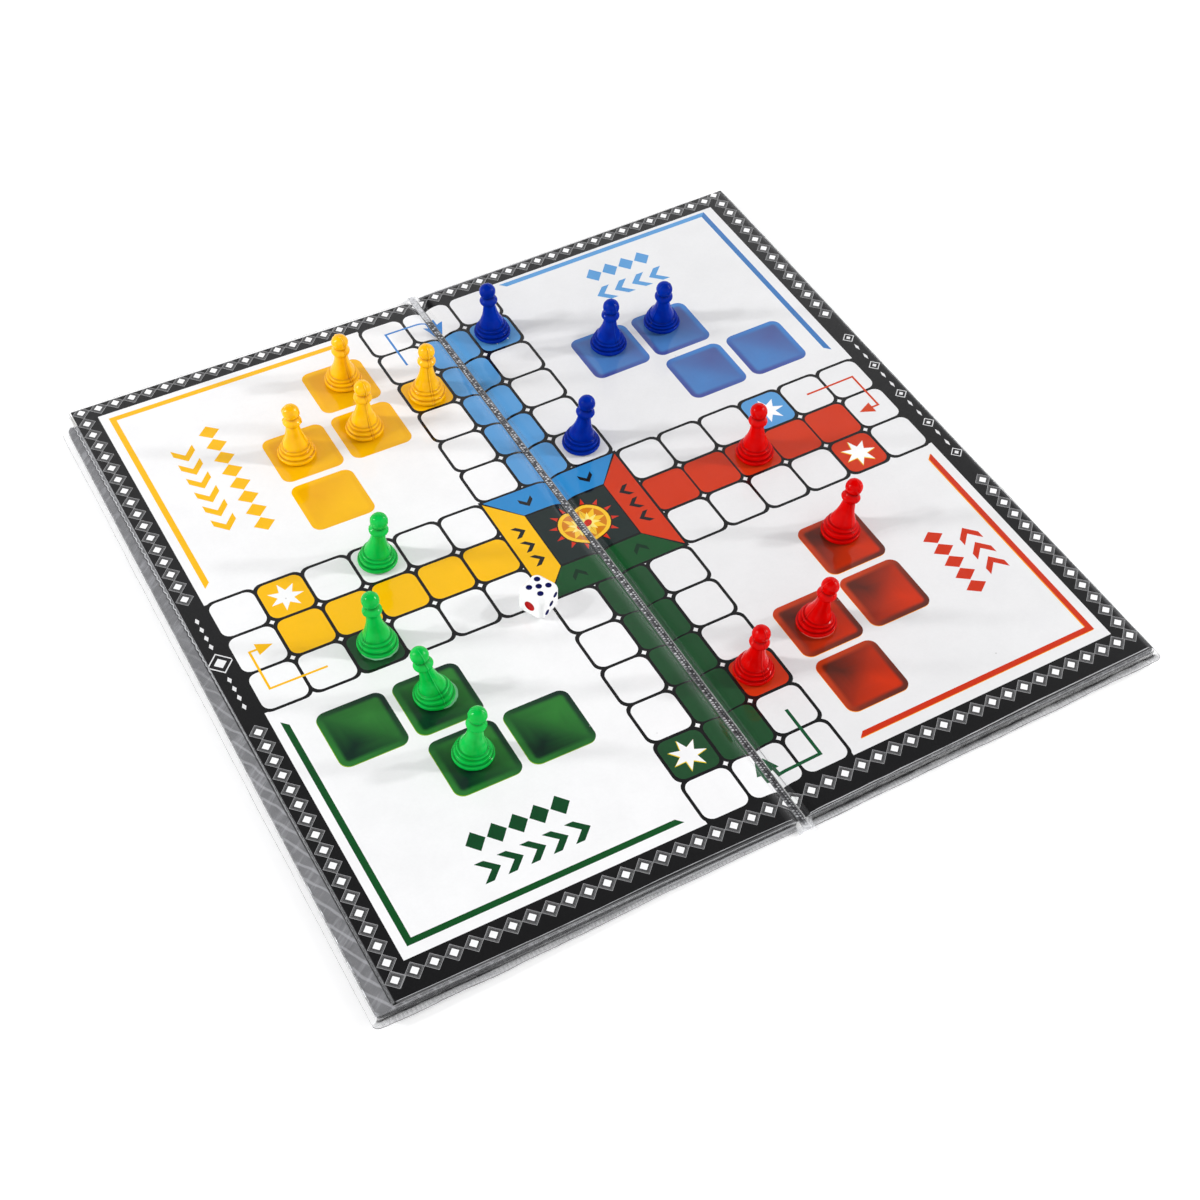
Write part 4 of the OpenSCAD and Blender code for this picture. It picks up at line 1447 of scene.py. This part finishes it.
def build_pawn(name, side, x, y, sx, sy, colour, ridge, ridge_h, nub):
    pr = pawn_profile(nub)
    base_a = [2 * math.pi * i / 56 for i in range(56)]
    extra = []
    for k in (0, 1):
        for d in (-0.075, -0.045, -0.024, -0.008, 0.008, 0.024, 0.045, 0.075):
            extra.append((ridge + math.pi * k + d) % (2 * math.pi))
    angles = sorted(a for a in base_a if all(abs((a - e + math.pi) % (2 * math.pi) - math.pi) > 0.03 for e in extra))
    angles = sorted(angles + extra)
    dirv = Vector((sx, sy))
    th = math.radians(math.hypot(sx, sy))
    dirv = dirv.normalized() if dirv.length > 1e-6 else Vector((1, 0))
    z_lo, z_hi = 1.9, 5.3
    seed = hash_seed(name)

    def centre(z):
        """Middle line's offset, height and slant at height z along the pawn."""
        if z <= z_lo:
            return 0.0, z, 0.0
        n = 12
        o, h = 0.0, z_lo
        zt = min(z, z_hi)
        for i in range(n):
            zz = z_lo + (zt - z_lo) * (i + 0.5) / n
            t = th * smooth((zz - z_lo) / (z_hi - z_lo))
            o += math.sin(t) * (zt - z_lo) / n
            h += math.cos(t) * (zt - z_lo) / n
        t = th * smooth((zt - z_lo) / (z_hi - z_lo))
        if z > z_hi:
            o += math.sin(t) * (z - z_hi)
            h += math.cos(t) * (z - z_hi)
        return o, h, t

    verts, faces, shade_sheen_tone = [], [], []
    rings = []
    ax = Vector((-dirv.y, dirv.x, 0))
    for r, z in pr:
        o, h, t = centre(z)
        rot = Matrix.Rotation(t, 3, Vector((-dirv.y, dirv.x, 0)))
        c = Vector((x + dirv.x * o, y + dirv.y * o, TOP + h))
        if r < 1e-6:
            rings.append([len(verts)])
            verts.append(tuple(c))
            shade_sheen_tone.append(1.0)
            continue
        row = []
        # painted shade in the grooves
        depth = sum(k * math.exp(-((z - zc) / w) ** 2) for zc, w, k in GROOVES)
        for a in angles:
            rr = r
            shade = 1 - min(0.62, depth)
            # the parting line's ridge, with a painted highlight on it and painted shade on either side
            for k in (0, 1):
                d = (a - ridge - math.pi * k + math.pi) % (2 * math.pi) - math.pi
                if abs(d) < 0.3 and z > 0.4:
                    s = abs(d) * max(r, 1.0)
                    rr += ridge_h * math.exp(-(s / 0.13) ** 2) - 0.8 * ridge_h * math.exp(-((s - 0.30) / 0.12) ** 2)
                    shade *= (1 + 0.22 * math.exp(-(s / 0.14) ** 2)) * (1 - 0.38 * math.exp(-((s - 0.34) / 0.14) ** 2))
            # small unevenness of the moulding
            rr += 0.035 * noise.noise(Vector((math.cos(a) * 2 + seed, math.sin(a) * 2, z * 0.35)))
            p = rot @ Vector((rr * math.cos(a), rr * math.sin(a), 0))
            row.append(len(verts))
            verts.append(tuple(c + p))
            shade_sheen_tone.append(shade * (1 + 0.10 * noise.noise(Vector((p.x * 0.5 + seed, p.y * 0.5, z * 0.4)))))
        rings.append(row)
    for a, b in zip(rings, rings[1:]):
        if len(a) == 1:
            faces += [[a[0], b[(i + 1) % len(b)], b[i]] for i in range(len(b))]
        elif len(b) == 1:
            faces += [[a[i], a[(i + 1) % len(a)], b[0]] for i in range(len(a))]
        else:
            faces += [[a[i], a[(i + 1) % len(a)], b[(i + 1) % len(b)], b[i]] for i in range(len(a))]
    ob = make(name + "_shape", verts, faces, [MAT[colour]], HALF[side], smooth_all=True, sharp=50)
    # half is the plain colour, less is painted shade, more is painted highlight
    ob.data.attributes.new("shade_sheen_tone", "FLOAT", "POINT").data.foreach_set("value", [max(0.0, min(1.0, 0.5 * t)) for t in shade_sheen_tone])
    put(ob, name, "pawn_" + colour, name)
    return ob


def hash_seed(name):
    return sum((i + 1) * ord(c) for i, c in enumerate(name)) % 97 * 1.37


def build_flash(name, side, x, y, colour, a0, a1, reach, z0):
    """Thin moulding flash that stands out from a foot between two angles."""
    rnd = random.Random(int(hash_seed(name) * 10))
    n = 46
    top, low = [], []
    verts = []
    for i in range(n + 1):
        t = i / n
        a = math.radians(a0 + (a1 - a0) * t)
        k = math.sin(math.pi * t) ** 0.6
        r1 = 7.3 + reach * k * (0.65 + 0.55 * abs(noise.noise(Vector((a * 3.1, seed_of(name), 0))))) + 0.05
        zz = z0 + 0.25 * noise.noise(Vector((a * 2.0, 5.0, seed_of(name))))
        c, s = math.cos(a), math.sin(a)
        verts += [(x + 6.9 * c, y + 6.9 * s, TOP + z0 + 0.10), (x + r1 * c, y + r1 * s, TOP + zz + 0.05),
                  (x + r1 * c, y + r1 * s, TOP + zz - 0.04), (x + 6.9 * c, y + 6.9 * s, TOP + z0 - 0.14)]
    faces = []
    for i in range(n):
        b = 4 * i
        for k in range(4):
            faces.append([b + k, b + (k + 1) % 4, b + 4 + (k + 1) % 4, b + 4 + k])
    faces.append([0, 3, 2, 1])
    faces.append([4 * n, 4 * n + 1, 4 * n + 2, 4 * n + 3])
    ob = make(name + "_flash", verts, faces, [MAT["flash_" + colour]], HALF[side], smooth_all=True, sharp=40)
    bm = bmesh.new()
    bm.from_mesh(ob.data)
    bmesh.ops.recalc_face_normals(bm, faces=bm.faces)
    bm.to_mesh(ob.data)
    bm.free()
    put(ob, name, "pawn_" + colour)


def seed_of(name):
    return hash_seed(name) * 0.31


PAWNS = {
    "yellow": (-1, [(-46, 112.1, -2.7, -5.4), (-78.5, 82.8, -2.1, 0), (-50.1, 83.2, 0, -2), (-20.1, 90, 1.2, 0.5)]),
    "green": (-1, [(-74.6, 18.7, 2.7, -5.2), (-91.5, -17.4, -2.3, 5.4), (-84.1, -47.1, -12, 6.2), (-83.7, -75.9, 4.3, -3.9)]),
    "blue": (1, [(19, 110.4, -3.3, 1.8), (56.5, 81.4, -0.5, -6.8), (81.8, 82.4, -5, -12), (19.9, 37.6, 5.4, -4.5)]),
    "red": (1, [(75.3, 0.8, 1.3, 0.6), (81.6, -48.7, 11.8, 0.6), (49.4, -81.6, 6.3, -8.1), (18.5, -89.2, 1.6, -5.4)]),
}
RIDGE = {"yellow": (0.26, [32, 75, 24, 18]), "green": (0.07, [70, -60, 30, 80]), "blue": (0.05, [60, 40, -50, 75]), "red": (0.07, [65, 50, -55, 40])}
NUB = {"yellow": 0.5, "green": 1.0, "blue": 0.5, "red": 0.4}
EYE = Vector((-0.246686, -0.437480, 0.541566))
for colour, (side, spots) in PAWNS.items():
    for i, (x, y, sx, sy) in enumerate(spots):
        w = HALF[side] @ Vector((x, y, TOP))
        face = math.atan2(EYE.y - w.y, EYE.x - w.x)
        h, turns = RIDGE[colour]
        build_pawn("pawn_%s_%d" % (colour, i + 1), side, x, y, sx, sy, colour, (face + math.radians(turns[i])) % math.pi, h, NUB[colour])
build_flash("pawn_green_2", -1, -91.5, -17.4, "green", 195, 330, 0.9, 0.9)
build_flash("pawn_green_3", -1, -84.1, -47.1, "green", 270, 385, 1.2, 1.0)
build_flash("pawn_red_3", 1, 49.4, -81.6, "red", 190, 300, 0.6, 0.9)

# ---------------------------------------------------------------- die
DIE_A, DIE_TURN = 11.0, 26.6
DIE_AT = (-33.6, -28.05)
PIP_G, PIP_D = 0.445 * DIE_A / 2, 0.32
PIP_R, RED_R = 1.15, 2.08
EDGE_R = 2.1
TURN = {1: (0, -90, 0), 2: (180, 0, 0), 3: (90, 0, 0), 4: (-90, 0, 0), 5: (0, 0, 0), 6: (0, 90, 0)}


def pips(n):
    out = [(0, 0)] if n % 2 else []
    if n > 1:
        out += [(-1, -1), (1, 1)]
    if n > 3:
        out += [(-1, 1), (1, -1)]
    if n == 6:
        out = [(a, b) for a in (-1, 1) for b in (-1, 0, 1)]
    return out


def turn_of(n):
    a, b, c = TURN[n]
    return Matrix.Rotation(math.radians(c), 3, "Z") @ Matrix.Rotation(math.radians(b), 3, "Y") @ Matrix.Rotation(math.radians(a), 3, "X")


DIE_M = HALF[-1] @ Matrix.Translation((DIE_AT[0], DIE_AT[1], TOP + DIE_A / 2)) @ Matrix.Rotation(math.radians(DIE_TURN), 4, "Z")


def build_die():
    n = 56
    ha = DIE_A / 2
    core = ha - EDGE_R
    bm = bmesh.new()
    for f in range(1, 7):
        R = turn_of(f)
        grid = []
        for j in range(n + 1):
            row = []
            for i in range(n + 1):
                u, v = ha * (2 * i / n - 1), ha * (2 * j / n - 1)
                p = Vector((u, v, ha))
                c = Vector([max(-core, min(core, q)) for q in p])
                d = p - c
                q = c + d.normalized() * EDGE_R
                far = q.length
                if far > 7.6:
                    q *= (7.6 + 0.35 * (far - 7.6)) / far
                # a face is very slightly crowned
                q.z += 0.05 * (1 - (u / ha) ** 2) * (1 - (v / ha) ** 2)
                for a, b in pips(f):
                    rr = RED_R if f == 1 else PIP_R
                    dd = math.hypot(u - a * PIP_G, v - b * PIP_G)
                    if dd < rr * 1.12:
                        q.z -= PIP_D * (1 - smooth((dd / rr - 0.55) / 0.57)) if dd > rr * 0.55 else PIP_D
                row.append(bm.verts.new(DIE_M @ (R @ q)))
            grid.append(row)
        for j in range(n):
            for i in range(n):
                bm.faces.new((grid[j][i], grid[j][i + 1], grid[j + 1][i + 1], grid[j + 1][i]))
    bmesh.ops.remove_doubles(bm, verts=bm.verts, dist=1e-6)
    bmesh.ops.recalc_face_normals(bm, faces=bm.faces)
    me = bpy.data.meshes.new("die_cube")
    bm.to_mesh(me)
    bm.free()
    me.materials.append(MAT["die"])
    me.polygons.foreach_set("use_smooth", [True] * len(me.polygons))
    ob = bpy.data.objects.new("die_cube", me)
    scene.collection.objects.link(ob)
    put(ob, "die", "die_white", "die_body")
    for name, faces_of, rr, mat, slot_name, cad in (("die_dots_navy", (2, 3, 4, 5, 6), PIP_R, "pip_blue", "pip_blue", "die_pips_blue"),
                                                    ("die_dot_red", (1,), RED_R, "pip_red", "pip_red", "die_pip_red")):
        bm = bmesh.new()
        for f in faces_of:
            R = turn_of(f)
            for a, b in pips(f):
                rings = []
                crown = 0.05 * (1 - (a * PIP_G / ha) ** 2) * (1 - (b * PIP_G / ha) ** 2)
                for top in (1, 0):
                    for k in (0.0, 0.35, 0.62, 0.82, 1.0):
                        d = PIP_D * (1 - smooth((k - 0.55) / 0.57)) if k > 0.55 else PIP_D
                        z = ha + crown - d + (0.045 if top else -0.03)
                        cnt = 1 if k == 0 else 28
                        rings.append([bm.verts.new(DIE_M @ (R @ Vector((a * PIP_G + rr * k * math.cos(2 * math.pi * i / cnt),
                                                                        b * PIP_G + rr * k * math.sin(2 * math.pi * i / cnt), z)))) for i in range(cnt)])
                for base in (0, 5):
                    for k in range(4):
                        p, q = rings[base + k], rings[base + k + 1]
                        for i in range(28):
                            if len(p) == 1:
                                bm.faces.new((p[0], q[i], q[(i + 1) % 28]))
                            else:
                                bm.faces.new((p[i], q[i], q[(i + 1) % 28], p[(i + 1) % 28]))
                for i in range(28):
                    bm.faces.new((rings[4][i], rings[9][i], rings[9][(i + 1) % 28], rings[4][(i + 1) % 28]))
        bmesh.ops.recalc_face_normals(bm, faces=bm.faces)
        me = bpy.data.meshes.new(name)
        bm.to_mesh(me)
        bm.free()
        me.materials.append(MAT[mat])
        me.polygons.foreach_set("use_smooth", [True] * len(me.polygons))
        me.set_sharp_from_angle(angle=math.radians(50))
        ob = bpy.data.objects.new(name, me)
        scene.collection.objects.link(ob)
        put(ob, "die", slot_name, cad)


build_die()

# ---------------------------------------------------------------- camera, floor and light
cam_d = bpy.data.cameras.new("camera")
cam = bpy.data.objects.new("camera", cam_d)
scene.collection.objects.link(cam)
RM = ((0.8731432222861407, -0.48713390506024223, 0.017929637936505982),
      (-0.3569425487814254, -0.6639712379817252, -0.6570648461167552),
      (0.331983328263928, 0.5673118663255463, -0.7536208039067332))
cam.matrix_world = Matrix((
    (RM[0][0], -RM[1][0], -RM[2][0], -0.246686),
    (RM[0][1], -RM[1][1], -RM[2][1], -0.437480),
    (RM[0][2], -RM[1][2], -RM[2][2], 0.541566),
    (0, 0, 0, 1)))
cam_d.sensor_width = 36
cam_d.lens = 59.8638
cam_d.clip_start, cam_d.clip_end = 0.01, 50
scene.camera = cam

bpy.ops.mesh.primitive_plane_add(size=6, location=(0, 0, -0.0002))
floor = bpy.context.object
floor.name = "floor"
fm, fnt, fb = new_mat("floor")
fb.inputs["Base Color"].default_value = (0.955, 0.955, 0.955, 1)
fb.inputs["Roughness"].default_value = 0.9
fb.inputs["Specular IOR Level"].default_value = 0.1
fb.inputs["Emission Color"].default_value = (1, 1, 1, 1)
fb.inputs["Emission Strength"].default_value = 0.22
floor.data.materials.append(fm)

world = bpy.data.worlds.new("world")
scene.world = world
world.use_nodes = True
wn = world.node_tree
bg = wn.nodes["Background"]
tc = wn.nodes.new("ShaderNodeTexCoord")
sep = wn.nodes.new("ShaderNodeSeparateXYZ")
wn.links.new(tc.outputs["Generated"], sep.inputs[0])
wr = wn.nodes.new("ShaderNodeValToRGB")
SKY = ((0.60, 1.08), (0.632, 1.0), (0.695, 0.62), (0.752, 0.46), (0.785, 0.24), (0.86, 0.12))
for pos, v in SKY[2:]:
    wr.color_ramp.elements.new(pos)
for el, (pos, v) in zip(wr.color_ramp.elements, SKY):
    el.position = pos
    el.color = (v, v, v * 1.01, 1)
wn.links.new(sep.outputs["Z"], wr.inputs["Fac"])
wn.links.new(wr.outputs["Color"], bg.inputs["Color"])
bg.inputs["Strength"].default_value = 1.0


def area(name, loc, target, sx, sy, power, rgb=(1, 1, 1)):
    d = bpy.data.lights.new(name, "AREA")
    d.shape = "RECTANGLE"
    d.size, d.size_y = sx, sy
    d.energy = power
    d.color = rgb
    o = bpy.data.objects.new(name, d)
    scene.collection.objects.link(o)
    o.location = loc
    o.rotation_euler = (Vector(target) - Vector(loc)).to_track_quat("-Z", "Y").to_euler()
    return o


right = Vector(RM[0]).normalized()
fwd2 = Vector((RM[2][0], RM[2][1], 0)).normalized()
for i, el in enumerate((21, 30, 39)):
    e = math.radians(el)
    area("key_left_%d" % (i + 1), (-right * math.cos(e) - fwd2 * (0.1 + 0.06 * i) + Vector((0, 0, math.sin(e)))) * 1.35, (0, 0, 0), 0.07, 0.09, 3.3)
for i, el in enumerate((23, 36)):
    e = math.radians(el)
    area("key_right_%d" % (i + 1), (right * math.cos(e) + fwd2 * (0.05 + 0.12 * i) + Vector((0, 0, math.sin(e)))) * 1.35, (0, 0, 0), 0.08, 0.10, 4.9)

scene.view_settings.view_transform = "Standard"
scene.view_settings.look = "None"
